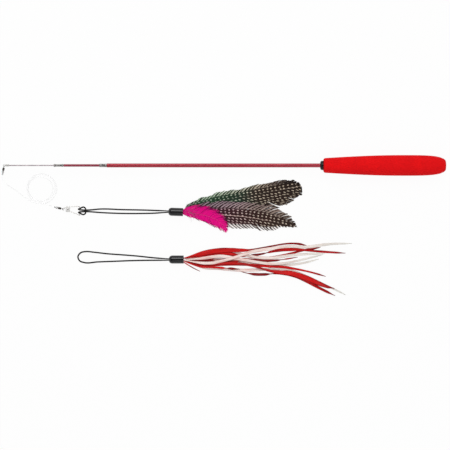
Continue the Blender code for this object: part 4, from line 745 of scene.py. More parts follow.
def turned(name: str, outline: list[Pair], centre: Vector, heading: Vector, look: Look,
           steps: int = 64) -> bpy.types.Object:
    """Make a turned piece from an outline round an axis."""
    return Form().revolve(outline, centre, heading, steps).finished(name, look)


def circle(centre: Vector, first: Vector, second: Vector, radius: float, count: int = 40) -> list[Vector]:
    """Give evenly spaced points on a circle in the plane of two unit vectors."""
    turns = [FULL_TURN * i / count for i in range(count)]
    return [centre + (first * math.cos(t) + second * math.sin(t)) * radius for t in turns]


# Studio


@dataclass
class Studio:
    """The table, the light and the camera, which looks straight down as the photograph's does."""

    view_width: float = 0.450
    lens_mm: float = 135.0
    sensor_mm: float = 36.0
    aim: Pair = (0.00138, 0.00074)
    sharp_height: float = 0.008
    floor_size: float = 6.0
    floor_drop: float = 0.6 * MM
    floor_sheet: float = 1.0 * MM
    daylight: float = 0.55
    floor_white: float = 0.95

    def camera(self) -> None:
        """Set the camera over the middle of the photograph's frame."""
        data = bpy.data.cameras.new("camera")
        data.lens = self.lens_mm
        data.sensor_width = self.sensor_mm
        made = linked(bpy.data.objects.new("camera", data))
        made.location = (*self.aim, self.sharp_height + self.view_width * self.lens_mm / self.sensor_mm)
        bpy.context.scene.camera = made

    def floor(self) -> None:
        """Lay a plain white table top that shows only its faintest shadows to the camera."""
        form = Form()
        half = self.floor_size / 2.0
        for i, row in enumerate(form.grid(2, 2)):
            for j, vert in enumerate(row):
                vert.co = (half * (2 * j - 1), half * (2 * i - 1), -self.floor_drop)
        material = bpy.data.materials.new("table_top_white")
        graph = Graph(material)
        graph.tree.nodes.clear()
        paper = graph.add("ShaderNodeBsdfDiffuse", {"Color": rgb("F2F2F2")})
        white = graph.add("ShaderNodeEmission", {"Color": rgb("FFFFFF"), "Strength": 1.0})
        path = graph.add("ShaderNodeLightPath").outputs
        seen = graph.calc("MAXIMUM", path["Is Glossy Ray"], path["Is Transmission Ray"])
        share = graph.times(graph.calc("MAXIMUM", path["Is Camera Ray"], seen), self.floor_white)
        mixed = graph.add("ShaderNodeMixShader", {0: share, 1: paper.outputs[0], 2: white.outputs[0]})
        graph.add("ShaderNodeOutputMaterial", {"Surface": mixed.outputs[0]})
        form.finished("table_top", material, thickness=self.floor_sheet)

    def world(self) -> None:
        """Light everything evenly, and show white to the camera and a softly shaded dome to glossy pieces."""
        world = bpy.data.worlds.new("studio")
        bpy.context.scene.world = world
        graph = Graph(world)
        graph.tree.nodes.clear()
        height = graph.split(graph.add("ShaderNodeTexCoord").outputs["Generated"])["Z"]
        dome = graph.ramp(height, ((0.0, "FFFFFF"), (0.35, "E8E8EA"), (0.75, "8E8E92"), (1.0, "5C5C60")))
        path = graph.add("ShaderNodeLightPath").outputs
        seen = graph.calc("MAXIMUM", path["Is Glossy Ray"], path["Is Transmission Ray"])
        lit = graph.mix(seen, (self.daylight, self.daylight, self.daylight, 1.0), dome)
        colour = graph.mix(path["Is Camera Ray"], lit, "FFFFFF")
        background = graph.add("ShaderNodeBackground", {"Color": colour, "Strength": 1.0})
        graph.add("ShaderNodeOutputWorld", {"Surface": background.outputs[0]})

    def lamp(self, name: str, place: Point, size: float, power: float) -> None:
        """Hang a square soft light that points at the middle of the table."""
        data = bpy.data.lights.new(name, "AREA")
        data.size = size
        data.energy = power
        made = linked(bpy.data.objects.new(name, data))
        made.location = place
        made.rotation_euler = Vector(place).to_track_quat("Z", "Y").to_euler()

    def build(self) -> None:
        """Set up the camera, the table, the world and the lamps."""
        bpy.context.scene.view_settings.view_transform = "Standard"
        self.camera()
        self.floor()
        self.world()
        self.lamp("soft_light_behind", (-0.2, 0.9, 1.3), 0.9, 9.0)
        self.lamp("soft_light_front", (0.3, -0.9, 1.2), 0.9, 3.0)


# The wand's sections, from the grip to the tip


def span(node: str) -> Point:
    """Read a turned node's front, rear and radius from the frame."""
    low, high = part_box(node)
    return low.x, high.x, (high.z - low.z) / 2.0


def dressed(node: str, look: Look) -> None:
    """Give a CAD node that stays in view its material."""
    made = frame["nodes"][node]
    made.data.materials.clear()
    made.data.materials.append(look.value.make())
    LOG.info("%s keeps its CAD mesh, in %s", node, look.value.name)


@dataclass
class Wand:
    """The grip and the three telescopic sections. Lengths and radii come from the frame."""

    grip_rounding: float = 2.0 * MM
    belly_from_front: float = 78.0 * MM
    front_radius: float = 7.4 * MM
    flank_steps: int = 24
    butt_flat: float = 4.6 * MM
    butt_along_power: float = 3.8
    butt_round_power: float = 3.6
    butt_steps: int = 60
    ring_from_end: float = 3.6 * MM
    ring_width: float = 0.5 * MM
    ring_depth: float = 0.25 * MM
    nose_length: float = 3.3 * MM
    nose_tip_radius: float = 2.7 * MM
    shank_share: float = 0.88
    tube_wall: float = 0.3 * MM
    edge: float = 0.12 * MM
    play: float = 0.1 * MM
    seat: float = 0.3 * MM

    def turn(self, name: str, node: str, body: Body, outline: list[Pair], look: Look,
             steps: int = 64) -> bpy.types.Object:
        """Turn a piece on the wand's axis, from the front of its node, and seat it."""
        made = turned(name, outline, Vector((span(node)[0], AXIS_Y, AXIS_Z)), X_AXIS, look, steps)
        return seated(made, body, node)

    def grip(self) -> bpy.types.Object:
        """Model the foam grip: rounded front edge, long swell, rounded butt with a faint moulded ring."""
        front, rear, belly = span("grip")
        _, core_rear, core = span("grip_core")
        length, bore, depth = rear - front, core + self.edge, core_rear - front + self.edge
        soft = self.grip_rounding
        outline = [(depth, bore), (0.0, bore)] + front_edge(0.0, self.front_radius, soft, 10)
        for i in range(1, self.flank_steps + 1):
            share = i / self.flank_steps
            outline.append((soft + (self.belly_from_front - soft) * share,
                            self.front_radius + (belly - self.front_radius) * math.sin(math.pi / 2 * share)))
        top = (1.0 - (self.butt_flat / belly) ** self.butt_round_power) ** (1.0 / self.butt_along_power)
        for i in range(1, self.butt_steps + 1):
            share = 1.0 - (1.0 - i / self.butt_steps) ** 2
            radius = belly * (1.0 - (share * top) ** self.butt_along_power) ** (1.0 / self.butt_round_power)
            place = self.belly_from_front + (length - self.belly_from_front) * share
            ring = math.exp(-((length - place - self.ring_from_end) / self.ring_width) ** 2)
            outline.append((place, radius - self.ring_depth * ring))
        outline += [(length, self.butt_flat * 0.5), (length, 0.0), (depth, 0.0)]
        return self.turn("foam_grip", "grip", Body.HANDLE, outline, Look.FOAM, 96)

    def core(self) -> None:
        """Model the plastic core with the rounded nose that shows in front of the foam."""
        front, rear, nose = span("grip_core")
        _, tube_rear, tube = span("outer_tube")
        length, shank = rear - front, nose * self.shank_share
        hole, depth = tube + self.edge, tube_rear - front + self.edge
        shoulder, swell = self.nose_length - self.seat, self.nose_length * 0.6
        outline = [(length, 0.0), (length, shank), (self.nose_length, shank), (shoulder, nose - self.edge),
                   (shoulder - self.edge, nose)]
        outline += arc((swell, self.nose_tip_radius), (swell, nose - self.nose_tip_radius), 90.0, 180.0, 12)
        outline += [(0.0, hole), (depth, hole), (depth, 0.0)]
        self.turn("grip_nose", "grip_core", Body.HANDLE, outline, Look.NOSE)

    def bar(self, name: str, node: str, body: Body, look: Look, wall: float = 0.0, steps: int = 64) -> None:
        """Model a tube, or a rod where it has no wall, with a softened edge at both ends."""
        front, rear, radius = span(node)
        outline = chamfered(0.0, rear - front, radius, self.edge, radius - wall if wall else 0.0)
        self.turn(name, node, body, outline, look, steps)

    def outer_collar(self) -> None:
        """Model the bright collar in the outer tube's mouth: rounded lip, two grooves and a hidden shank."""
        front, rear, radius = span("outer_collar")
        tube_front, _, tube = span("outer_tube")
        lip, wide = span("middle_tube")[2] + self.play, tube - self.tube_wall
        shoulder, bore, soft = tube_front - front - self.seat, wide - self.play, radius - lip
        outline = arc((2 * soft, radius - soft), (2 * soft, soft), 180.0, 90.0, 10)
        for share in (0.52, 0.66):
            outline += groove(shoulder * share, radius, 0.2 * MM, 0.14 * MM)
        outline += [(shoulder - 1.2 * MM, radius), (shoulder - 0.9 * MM, wide), (shoulder, wide),
                    (shoulder, bore), (rear - front, bore), (rear - front, lip)]
        self.turn("outer_collar_bright", "outer_collar", Body.HANDLE, outline, Look.CHROME)

    def middle_collar(self) -> None:
        """Model the bright collar in the middle tube's mouth: a bead at each end of a slim waist."""
        front, rear, bead = span("middle_collar")
        tube_front, _, tube = span("middle_tube")
        lip, bore = span("inner_rod")[2] + self.play, tube - self.tube_wall - self.play
        shoulder, waist = tube_front - front - self.seat, bead - 0.25 * MM
        end, bevel, slope = 1.6 * MM, 0.1 * MM, 0.4 * MM
        outline = [(0.0, lip)] + front_edge(0.0, bead, 0.35 * MM, 6)
        outline += [(end - bevel, bead), (end, bead - bevel), (end + slope, waist),
                    (shoulder - end - slope, waist), (shoulder - end, bead - bevel),
                    (shoulder - end + bevel, bead), (shoulder - bevel, bead), (shoulder, bead - bevel),
                    (shoulder, bore), (rear - front, bore), (rear - front, lip)]
        self.turn("middle_collar_bright", "middle_collar", Body.MIDDLE, outline, Look.CHROME)

    def ferrule(self) -> None:
        """Model the crimped ferrule at the rod's tip, with two crimp grooves."""
        front, rear, radius = span("tip_ferrule")
        length, wall, hole, bore = rear - front, 0.3 * MM, 0.42 * MM, span("inner_rod")[2] + 0.08 * MM
        outline = [(0.0, hole)] + front_edge(0.0, radius, wall, 6)
        for share in (0.45, 0.68):
            outline += groove(length * share, radius, 0.16 * MM, 0.1 * MM)
        outline += [(length - 0.15 * MM, radius), (length, bore), (wall, bore), (wall, hole)]
        self.turn("rod_ferrule", "tip_ferrule", Body.ROD, outline, Look.SILVER, 40)

    def tip_eye(self) -> None:
        """Model the eye that turns in the ferrule: wire ring, stem and captive head."""
        low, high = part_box("tip_eye")
        wire, ring, stem, head = 0.25 * MM, 1.0 * MM, 0.3 * MM, 0.5 * MM
        centre = Vector((low.x + ring + wire, AXIS_Y, AXIS_Z))
        start = Vector((centre.x + ring - wire * 0.5, AXIS_Y, AXIS_Z))
        end = high.x - start.x
        outline = [(0.0, 0.0), (0.0, stem), (end - stem, stem), (end - stem, head), (end, head), (end, 0.0)]
        form = Form()
        form.sweep(circle(centre, X_AXIS, Y_AXIS, ring), wire, closed=True)
        form.revolve(outline, start, X_AXIS, 24)
        seated(form.finished("rod_tip_eye", Look.NICKEL), Body.ROD, "tip_eye")

    def build(self) -> None:
        """Model every section, and dress the inner pieces that stay as the frame has them."""
        self.grip()
        self.core()
        self.bar("outer_tube_lacquered", "outer_tube", Body.HANDLE, Look.CRIMSON, self.tube_wall)
        self.outer_collar()
        self.bar("middle_tube_lacquered", "middle_tube", Body.MIDDLE, Look.MAROON, self.tube_wall)
        self.middle_collar()
        self.bar("steel_rod", "inner_rod", Body.ROD, Look.STEEL, steps=40)
        self.ferrule()
        self.tip_eye()
        dressed("tube_plug", Look.NOSE)
        dressed("middle_friction_sleeve", Look.BRASS)
        dressed("inner_friction_sleeve", Look.BRASS)


# The line and what hangs on it


@dataclass
class Swivel:
    """A barrel swivel: two eyes whose heads a hollow barrel holds, and the line's knot on one of them."""

    name: str
    body: Body
    eyes: tuple[str, str]
    eye_turns: Pair
    knot_node: str
    knot_side: int
    barrel_length: float = 3.0 * MM
    barrel_radius: float = 1.1 * MM
    barrel_bore: float = 0.8 * MM
    barrel_rounding: float = 0.35 * MM
    end_wall: float = 0.4 * MM
    stem_radius: float = 0.3 * MM
    stem_clearance: float = 0.12 * MM
    neck: float = 0.35 * MM
    eye_radius: float = 0.85 * MM
    eye_wire: float = 0.22 * MM
    head_radius: float = 0.62 * MM
    head_length: float = 0.35 * MM
    head_play: float = 0.25 * MM
    link_overlap: float = 0.72 * MM
    loop_radius: float = 0.66 * MM
    loop_wire: float = 0.28 * MM
    loop_in_knot: float = 0.3 * MM
    knot_length: float = 1.9 * MM
    knot_radius: float = 0.72 * MM
    knot_turns: int = 5
    knot_strand: float = 0.24 * MM
    line_radius: float = 0.34 * MM
    face_gap: float = 0.3 * MM

    def __post_init__(self) -> None:
        """Read the swivel's middle and heading from its joint, and measure it.

        The turn's Z axis points along the heading, and its Y axis is as near up as it can be.
        """
        self.centre, self.heading = joint(self.name + "_spin")
        up = (Z_AXIS - self.heading * Z_AXIS.dot(self.heading)).normalized()
        self.turn = Matrix((up.cross(self.heading), up, self.heading)).transposed()
        self.eye_middle = self.barrel_length / 2.0 + self.neck + self.eye_wire + self.eye_radius
        self.hook_reach = self.eye_middle + self.eye_radius - self.link_overlap
        self.knot_start = self.hook_reach + 2.0 * self.loop_radius - self.loop_in_knot
        self.knot_end = self.knot_start + self.knot_length + self.face_gap

    def local(self, along: float, across: float = 0.0, up: float = 0.0) -> Vector:
        """Give a point by its distances from the swivel's middle along its own axes."""
        return self.centre + self.turn @ Vector((across, up, along))

    def hook(self) -> Vector:
        """Give the point where the piece on the free eye crosses it."""
        return self.local(-self.knot_side * self.hook_reach)

    def line_end(self) -> Vector:
        """Give the point where the free line starts at the knot."""
        return self.local(self.knot_side * self.knot_end)

    def barrel(self) -> bpy.types.Object:
        """Model the hollow barrel: rounded shoulders and two fine grooves at its waist."""
        end, radius, soft = self.barrel_length / 2.0, self.barrel_radius, self.barrel_rounding
        hole, inner, bore = self.stem_radius + self.stem_clearance, end - self.end_wall, self.barrel_bore
        outline = [(-end, hole)] + front_edge(-end, radius, soft, 8)
        for place in (-0.3 * MM, 0.3 * MM):
            outline += groove(place, radius, 0.14 * MM, 0.12 * MM)
        outline += rear_edge(end, radius, soft, 8)
        outline += [(end, hole), (inner, hole), (inner, bore), (-inner, bore), (-inner, hole)]
        return turned(self.name + "_barrel_plated", outline, self.centre, self.heading, Look.DARK_NICKEL, 48)

    def eye(self, side: int, degrees: float) -> bpy.types.Object:
        """Model one eye: wire ring, neck and the head inside the barrel.

        Args:
            side: -1 or 1, the end of the barrel.
            degrees: the ring's turn about the swivel's axis.

        Returns:
            The eye.
        """
        head_top = self.barrel_length / 2.0 - self.end_wall - self.head_play
        head_low, stem_end = head_top - self.head_length, self.eye_middle - self.eye_radius
        across = self.turn @ level_turn(math.radians(degrees))
        middle = self.local(side * self.eye_middle)
        form = Form()
        form.sweep(circle(middle, self.heading, across, self.eye_radius), self.eye_wire, closed=True)
        form.revolve([(head_low, 0.0), (head_low, self.head_radius), (head_top, self.head_radius),
                      (head_top, self.stem_radius), (stem_end, self.stem_radius), (stem_end, 0.0)],
                     self.centre, self.heading * side, 24)
        return form.finished(self.name + ("_eye_low" if side < 0 else "_eye_high"), Look.DARK_NICKEL)

    def knot(self) -> bpy.types.Object:
        """Model the line's clinch knot: a loop through the eye, then turns wound round the line."""
        side, start, strand = self.knot_side, self.knot_start, self.knot_strand
        middle = self.local(side * (start + self.loop_in_knot - self.loop_radius))
        form = Form()
        loop = circle(middle, self.heading, self.turn @ Y_AXIS, self.loop_radius)
        form.sweep(loop, self.loop_wire, closed=True)
        steps = 20 * self.knot_turns
        wound = []
        for share in (i / steps for i in range(steps + 1)):
            angle = FULL_TURN * self.knot_turns * share
            out = (self.knot_radius - strand) * (0.86 + 0.14 * math.sin(math.pi * share))
            wound.append(self.local(side * (start + strand + (self.knot_length - 2.0 * strand) * share),
                                    out * math.cos(angle), out * math.sin(angle)))
        form.sweep(wound, strand, 8)
        form.sweep([self.local(side * start), self.line_end()], self.line_radius)
        return form.finished(self.knot_node + "_wound", Look.NYLON)

    def build(self) -> list[bpy.types.Object]:
        """Model the swivel and its knot, and give the pieces."""
        made = [seated(self.eye(side, degrees), Body.ROD, f"{self.name}_eye_{eye}")
                for side, degrees, eye in zip((-1, 1), self.eye_turns, self.eyes)]
        made.append(seated(self.knot(), Body.ROD, self.knot_node))
        made.append(seated(self.barrel(), self.body, self.name + "_barrel"))
        return made


@dataclass
class Line:
    """The nylon line from the tip swivel to the snap's swivel, with a loose coil of turns in two layers.

    The routes and the coil are in layout millimetres.
    """

    radius: float = 0.35 * MM
    spacing: float = 1.0 * MM
    upper_route: tuple[Point, ...] = (
        (-5.2, -12.4, 5.2), (-3.4, -16.4, 3.2), (-0.2, -19.4, 1.7), (4.4, -22.4, 0.9), (9.6, -26.0, 0.5),
        (14.4, -29.9, 0.36), (19.6, -33.6, 0.35), (24.6, -36.1, 0.35))
    lower_route: tuple[Point, ...] = ((39.3, -38.7, 1.3), (42.2, -39.9, 1.2))
    coil_centre: Pair = (34.6, -22.6)
    outer_radius: float = 15.6
    pitch: float = 2.6
    turns: float = 3.0
    start_degrees: float = 248.0
    drift: float = 0.5
    layer_step: float = 1.2
    climb_turns: float = 0.5
    points_per_turn: int = 40

    def coil(self) -> list[Vector]:
        """Work out the coil: inwards on the table, up one layer, and outwards again on top."""
        count = int(self.turns * self.points_per_turn)
        points = []
        for turns in (self.turns * i / count for i in range(count + 1)):
            inward = self.pitch * (self.turns / 2.0 - abs(turns - self.turns / 2.0))
            climb = smoothed((turns - self.turns / 2.0) / self.climb_turns + 0.5)
            middle = Vector((self.coil_centre[0] - self.drift * inward, self.coil_centre[1],
                             self.radius / MM + self.layer_step * climb))
            angle = math.radians(self.start_degrees) + FULL_TURN * turns
            points.append(placed(middle + level_turn(angle) * (self.outer_radius - inward)))
        return points

    def build(self, top: Swivel, bottom: Swivel, carried: list[bpy.types.Object]) -> None:
        """Lay the line as one cord.

        Args:
            top: the swivel that the line hangs on.
            bottom: the swivel at its far end.
            carried: the pieces that hang on the line; not used.
        """
        coil = self.coil()
        upper, lower = ([placed(p) for p in route] for route in (self.upper_route, self.lower_route))
        upper = smooth_route([top.line_end(), *upper, coil[0]], self.spacing)
        lower = smooth_route([coil[-1], *lower, bottom.line_end()], self.spacing)
        route = upper[:-1] + coil + lower[1:]
        form = Form()
        form.sweep(route, self.radius)
        made = seated(form.finished("nylon_line", Look.NYLON), Body.ROD, "line_upper_run", "line_coil",
                      "line_lower_run")


@dataclass
class Snap:
    """The wire snap: bent frame with an eye, hinged gate, folded clasp, rivet and hinge pin.

    Places, and the steps along the wires, are in layout millimetres. Sizes are in metres.
    """

    height: float = 2.05
    wire: float = 0.4 * MM
    eye_radius: float = 1.0 * MM
    bar_x: float = 72.3
    top_y: float = -40.85
    corner: float = 1.3
    leg_start: Point = (2.6, 1.75, 0.0)
    leg_middle: float = 7.4
    leg_drop: float = 0.35
    foot: Point = (0.1, 0.68, 0.0)
    bar_end: float = 1.2
    pivot: Pair = (72.0, -49.4)
    lug_radius: float = 0.85 * MM
    lug_edge: float = 0.1 * MM
    lug_thickness: float = 0.5 * MM
    lug_gap: float = 0.3 * MM
    pin_radius: float = 0.33 * MM
    pin_clearance: float = 0.12 * MM
    pin_head_radius: float = 0.68 * MM
    pin_head: float = 0.3 * MM
    gate_step: Point = (1.7, 3.0, 4.2)
    gate_tip: Pair = (59.3, -44.9)
    clasp_low: Pair = (58.3, -46.4)
    clasp_high: Pair = (62.4, -40.55)
    clasp_sheet: float = 0.3 * MM
    clasp_gap: float = 0.3 * MM
    clasp_fold: float = 0.55 * MM
    clasp_cut: float = 0.35 * MM
    clasp_rivet: Pair = (60.4, -43.6)
    rivet_radius: float = 0.42 * MM
    rivet_head_radius: float = 0.8 * MM

    def at(self, place: Pair, rise: float = 0.0) -> Vector:
        """Give a frame point from a layout place and a height in metres above the wire's middle."""
        return placed((*place, self.height)) + Z_AXIS * rise

    def wired(self, name: str, route: list[Vector], low: float, high: float) -> bpy.types.Object:
        """Sweep a wire that ends in a flattened lug: a washer with the pin's hole and softened rims."""
        lug = chamfered(low, high, self.lug_radius, self.lug_edge, self.pin_radius + self.pin_clearance)
        form = Form()
        form.sweep(route, self.wire, 14, level=Z_AXIS)
        form.revolve(lug, self.at(self.pivot), Z_AXIS, 40)
        return form.finished(name, Look.NICKEL)

    def frame_wire(self, hook: Vector, heading: Vector) -> bpy.types.Object:
        """Model the bent wire: eye, long leg, bar, and the foot on the hinge pin."""
        level = self.at(self.pivot).z
        flat = Vector((heading.x, heading.y, 0.0)).normalized()
        eye = Vector((hook.x, hook.y, level)) + flat * self.eye_radius
        loop = [eye + level_turn(math.radians(-48.0 - 264.0 * i / 28.0)) * self.eye_radius for i in range(29)]
        centre = self.at((self.bar_x - self.corner, self.top_y - self.corner))
        bend = [centre + level_turn(math.radians(90.0 - 9.0 * i)) * self.corner * MM for i in range(11)]
        middle = Vector((eye.x + self.leg_middle * MM, self.at((0.0, self.top_y - self.leg_drop)).y, level))
        leg = smooth_route([loop[-1], eye + Vector(self.leg_start) * MM, middle, bend[0]], 0.8 * MM)
        low, high = -self.lug_gap / 2.0 - self.lug_thickness, -self.lug_gap / 2.0
        foot = self.at(self.pivot, (low + high) / 2.0) + Vector(self.foot) * MM
        bar_low = Vector((self.at((self.bar_x, 0.0)).x, foot.y + self.bar_end * MM, level))
        bar = evenly([bend[-1], bar_low], 1.0 * MM)[1:]
        return self.wired("snap_wire", loop[:-1] + leg[:-1] + bend + bar + [foot], low, high)

    def gate(self) -> bpy.types.Object:
        """Model the hinged gate: lug, a small step down to the wire's level, and the straight arm."""
        low, high = self.lug_gap / 2.0, self.lug_gap / 2.0 + self.lug_thickness
        pivot, tip = self.at(self.pivot), self.at(self.gate_tip)
        out, step = (tip - pivot).normalized(), Z_AXIS * ((low + high) / 2.0)
        near, middle, far = (pivot + out * (place * MM) for place in self.gate_step)
        route = [pivot + out * (self.lug_radius * 0.8) + step, near + step, middle, far]
        return self.wired("snap_gate_wire", smooth_route(route, 0.4 * MM) + [tip], low, high)

    def clasp(self) -> bpy.types.Object:
        """Model the folded clasp: one sheet bent round the wires, open where the gate's end springs in."""
        half, turn = self.wire + self.clasp_gap + self.clasp_sheet / 2.0, self.clasp_fold
        low, high = self.at(self.clasp_low), self.at(self.clasp_high)
        inner = high.y - self.clasp_sheet / 2.0 - turn
        profile = [(low.y, -half)] + arc((inner, -half + turn), (turn, turn), -90.0, 0.0, 6)
        profile += arc((inner, half - turn), (turn, turn), 0.0, 90.0, 6) + [(low.y, half)]
        columns = 9
        form = Form()
        for row, (y, z) in zip(form.grid(len(profile), columns), profile):
            for j, vert in enumerate(row):
                cut = self.clasp_cut if y == low.y and j in (0, columns - 1) else 0.0
                vert.co = (low.x + (high.x - low.x) * j / (columns - 1), y + cut, low.z + z)
        return form.finished("snap_clasp_folded", Look.TIN, thickness=self.clasp_sheet)

    def rivet(self, name: str, place: Pair, radius: float, head_radius: float,
              reach: float) -> bpy.types.Object:
        """Model an upright rivet with a domed head beyond its reach at both ends."""
        dome = self.pin_head
        outline = [(-reach - dome, 0.0)] + arc((-reach, 0.0), (dome, head_radius), 180.0, 90.0, 6)[1:]
        outline += [(-reach, radius), (reach, radius)]
        outline += arc((reach, 0.0), (dome, head_radius), 90.0, 0.0, 6)[:-1] + [(reach + dome, 0.0)]
        return turned(name, outline, self.at(place), Z_AXIS, Look.NICKEL, 32)

    def build(self, hook: Vector, heading: Vector) -> list[bpy.types.Object]:
        """Model the snap.

        Args:
            hook: the point where the snap's eye crosses the swivel's eye.
            heading: the swivel's direction.

        Returns:
            The snap's pieces.
        """
        lugs = self.lug_gap / 2.0 + self.lug_thickness + self.pin_clearance
        sheet = self.wire + self.clasp_gap + self.clasp_sheet + self.pin_clearance
        made = [seated(self.frame_wire(hook, heading), Body.ROD, "snap_frame"),
                seated(self.gate(), Body.GATE, "snap_gate"), seated(self.clasp(), Body.ROD, "snap_clasp")]
        for node, *rivet in (
                ("snap_rivet", "snap_clasp_rivet", self.clasp_rivet, self.rivet_radius,
                 self.rivet_head_radius, sheet),
                ("snap_hinge_pin", "snap_gate_pin", self.pivot, self.pin_radius, self.pin_head_radius, lugs)):
            made.append(seated(self.rivet(*rivet), Body.ROD, node))
        return made


# The elastic cords and the caps of the toys


@dataclass
class Elastic:
    """A braided elastic cord that runs out of a toy's cap and back into it."""

    name: str
    route: tuple[Point, ...]
    body: Body
    nodes: tuple[str, ...]
    radius: float = 0.74 * MM
    pinch: Table = ((80.0, 1.02), (84.0, 1.0), (150.0, 1.0), (159.0, 0.81))
    spacing: float = 0.6 * MM
    sides: int = 14

    def thickness(self, point: Vector) -> float:
        """Give the cord's radius: pinched where it runs into the cap."""
        return self.radius * eased(self.pinch, (point.x - SHIFT.x) / MM)

    def build(self) -> None:
        """Lay the cord."""
        points = smooth_route([placed(p) for p in self.route], self.spacing)
        for point in points:
            point.z = max(point.z, self.radius)
        form = Form()
        form.sweep(points, [self.thickness(point) for point in points], self.sides)
        made = seated(form.finished(self.name, Look.ELASTIC), self.body, *self.nodes)


# Routes of the elastics' middle lines in layout millimetres: the feather toy's two strands
STRAND_UPPER: tuple[Point, ...] = (
    (162.6, -45.5, 4.1), (160.4, -45.43, 4.08), (155.5, -45.2, 3.6), (148.0, -44.9, 2.3), (136.0, -44.5, 0.9),
    (115.5, -44.1, 0.5), (92.3, -43.5, 0.5))
STRAND_LOWER: tuple[Point, ...] = (
    (93.0, -47.0, 0.5), (115.5, -47.9, 0.5), (136.0, -47.9, 0.9), (148.0, -47.6, 2.3), (155.5, -47.1, 3.6),
    (160.4, -46.83, 4.08), (162.6, -46.8, 4.1))
# Half of its lark's head, with X and Y from the middle of the snap's bar
HITCH_HALF: tuple[Point, ...] = (
    (9.2, 0.85, 0.72), (7.6, 0.78, 0.72), (6.0, 0.76, 0.74), (4.0, 0.78, 0.78), (1.8, 0.9, 0.9),
    (0.1, 1.1, 0.95), (-0.9, 1.35, 1.25), (-1.3, 1.6, 2.05), (-0.9, 1.85, 2.95), (0.0, 2.15, 3.4),
    (1.2, 2.8, 3.35), (2.5, 3.55, 3.1), (3.9, 3.75, 2.8), (5.2, 3.0, 2.6), (5.9, 1.8, 2.5), (6.0, 0.8, 2.45),
    (6.0, 0.0, 2.4))
# The ribbon toy's loop, from its cap and back
RIBBON_LOOP: tuple[Point, ...] = (
    (163.2, -93.4, 4.1), (160.8, -93.4, 4.05), (154.0, -93.0, 3.2), (143.0, -92.1, 1.3), (130.0, -90.7, 0.5),
    (116.4, -89.6, 0.5), (99.0, -88.3, 0.5), (86.0, -86.8, 0.5), (78.4, -86.2, 0.5), (73.0, -87.4, 0.5),
    (70.3, -91.4, 0.5), (72.2, -95.6, 0.5), (76.6, -97.2, 0.5), (90.0, -96.6, 0.5), (108.0, -95.9, 0.5),
    (124.0, -95.3, 0.5), (138.0, -95.0, 0.9), (149.0, -94.9, 2.5), (156.0, -94.85, 3.7), (160.8, -94.8, 4.08),
    (163.2, -94.8, 4.1))


def hitched_route(bar_x: float = 72.3, bar_y: float = -45.3) -> tuple[Point, ...]:
    """Give the feather toy's cord from the cap, through its lark's head round the snap's bar, and back."""
    there = [(bar_x + u, bar_y + v, z) for u, v, z in HITCH_HALF]
    back = [(bar_x + u, bar_y - v, z) for u, v, z in reversed(HITCH_HALF[:-1])]
    return STRAND_UPPER + tuple(there + back) + STRAND_LOWER


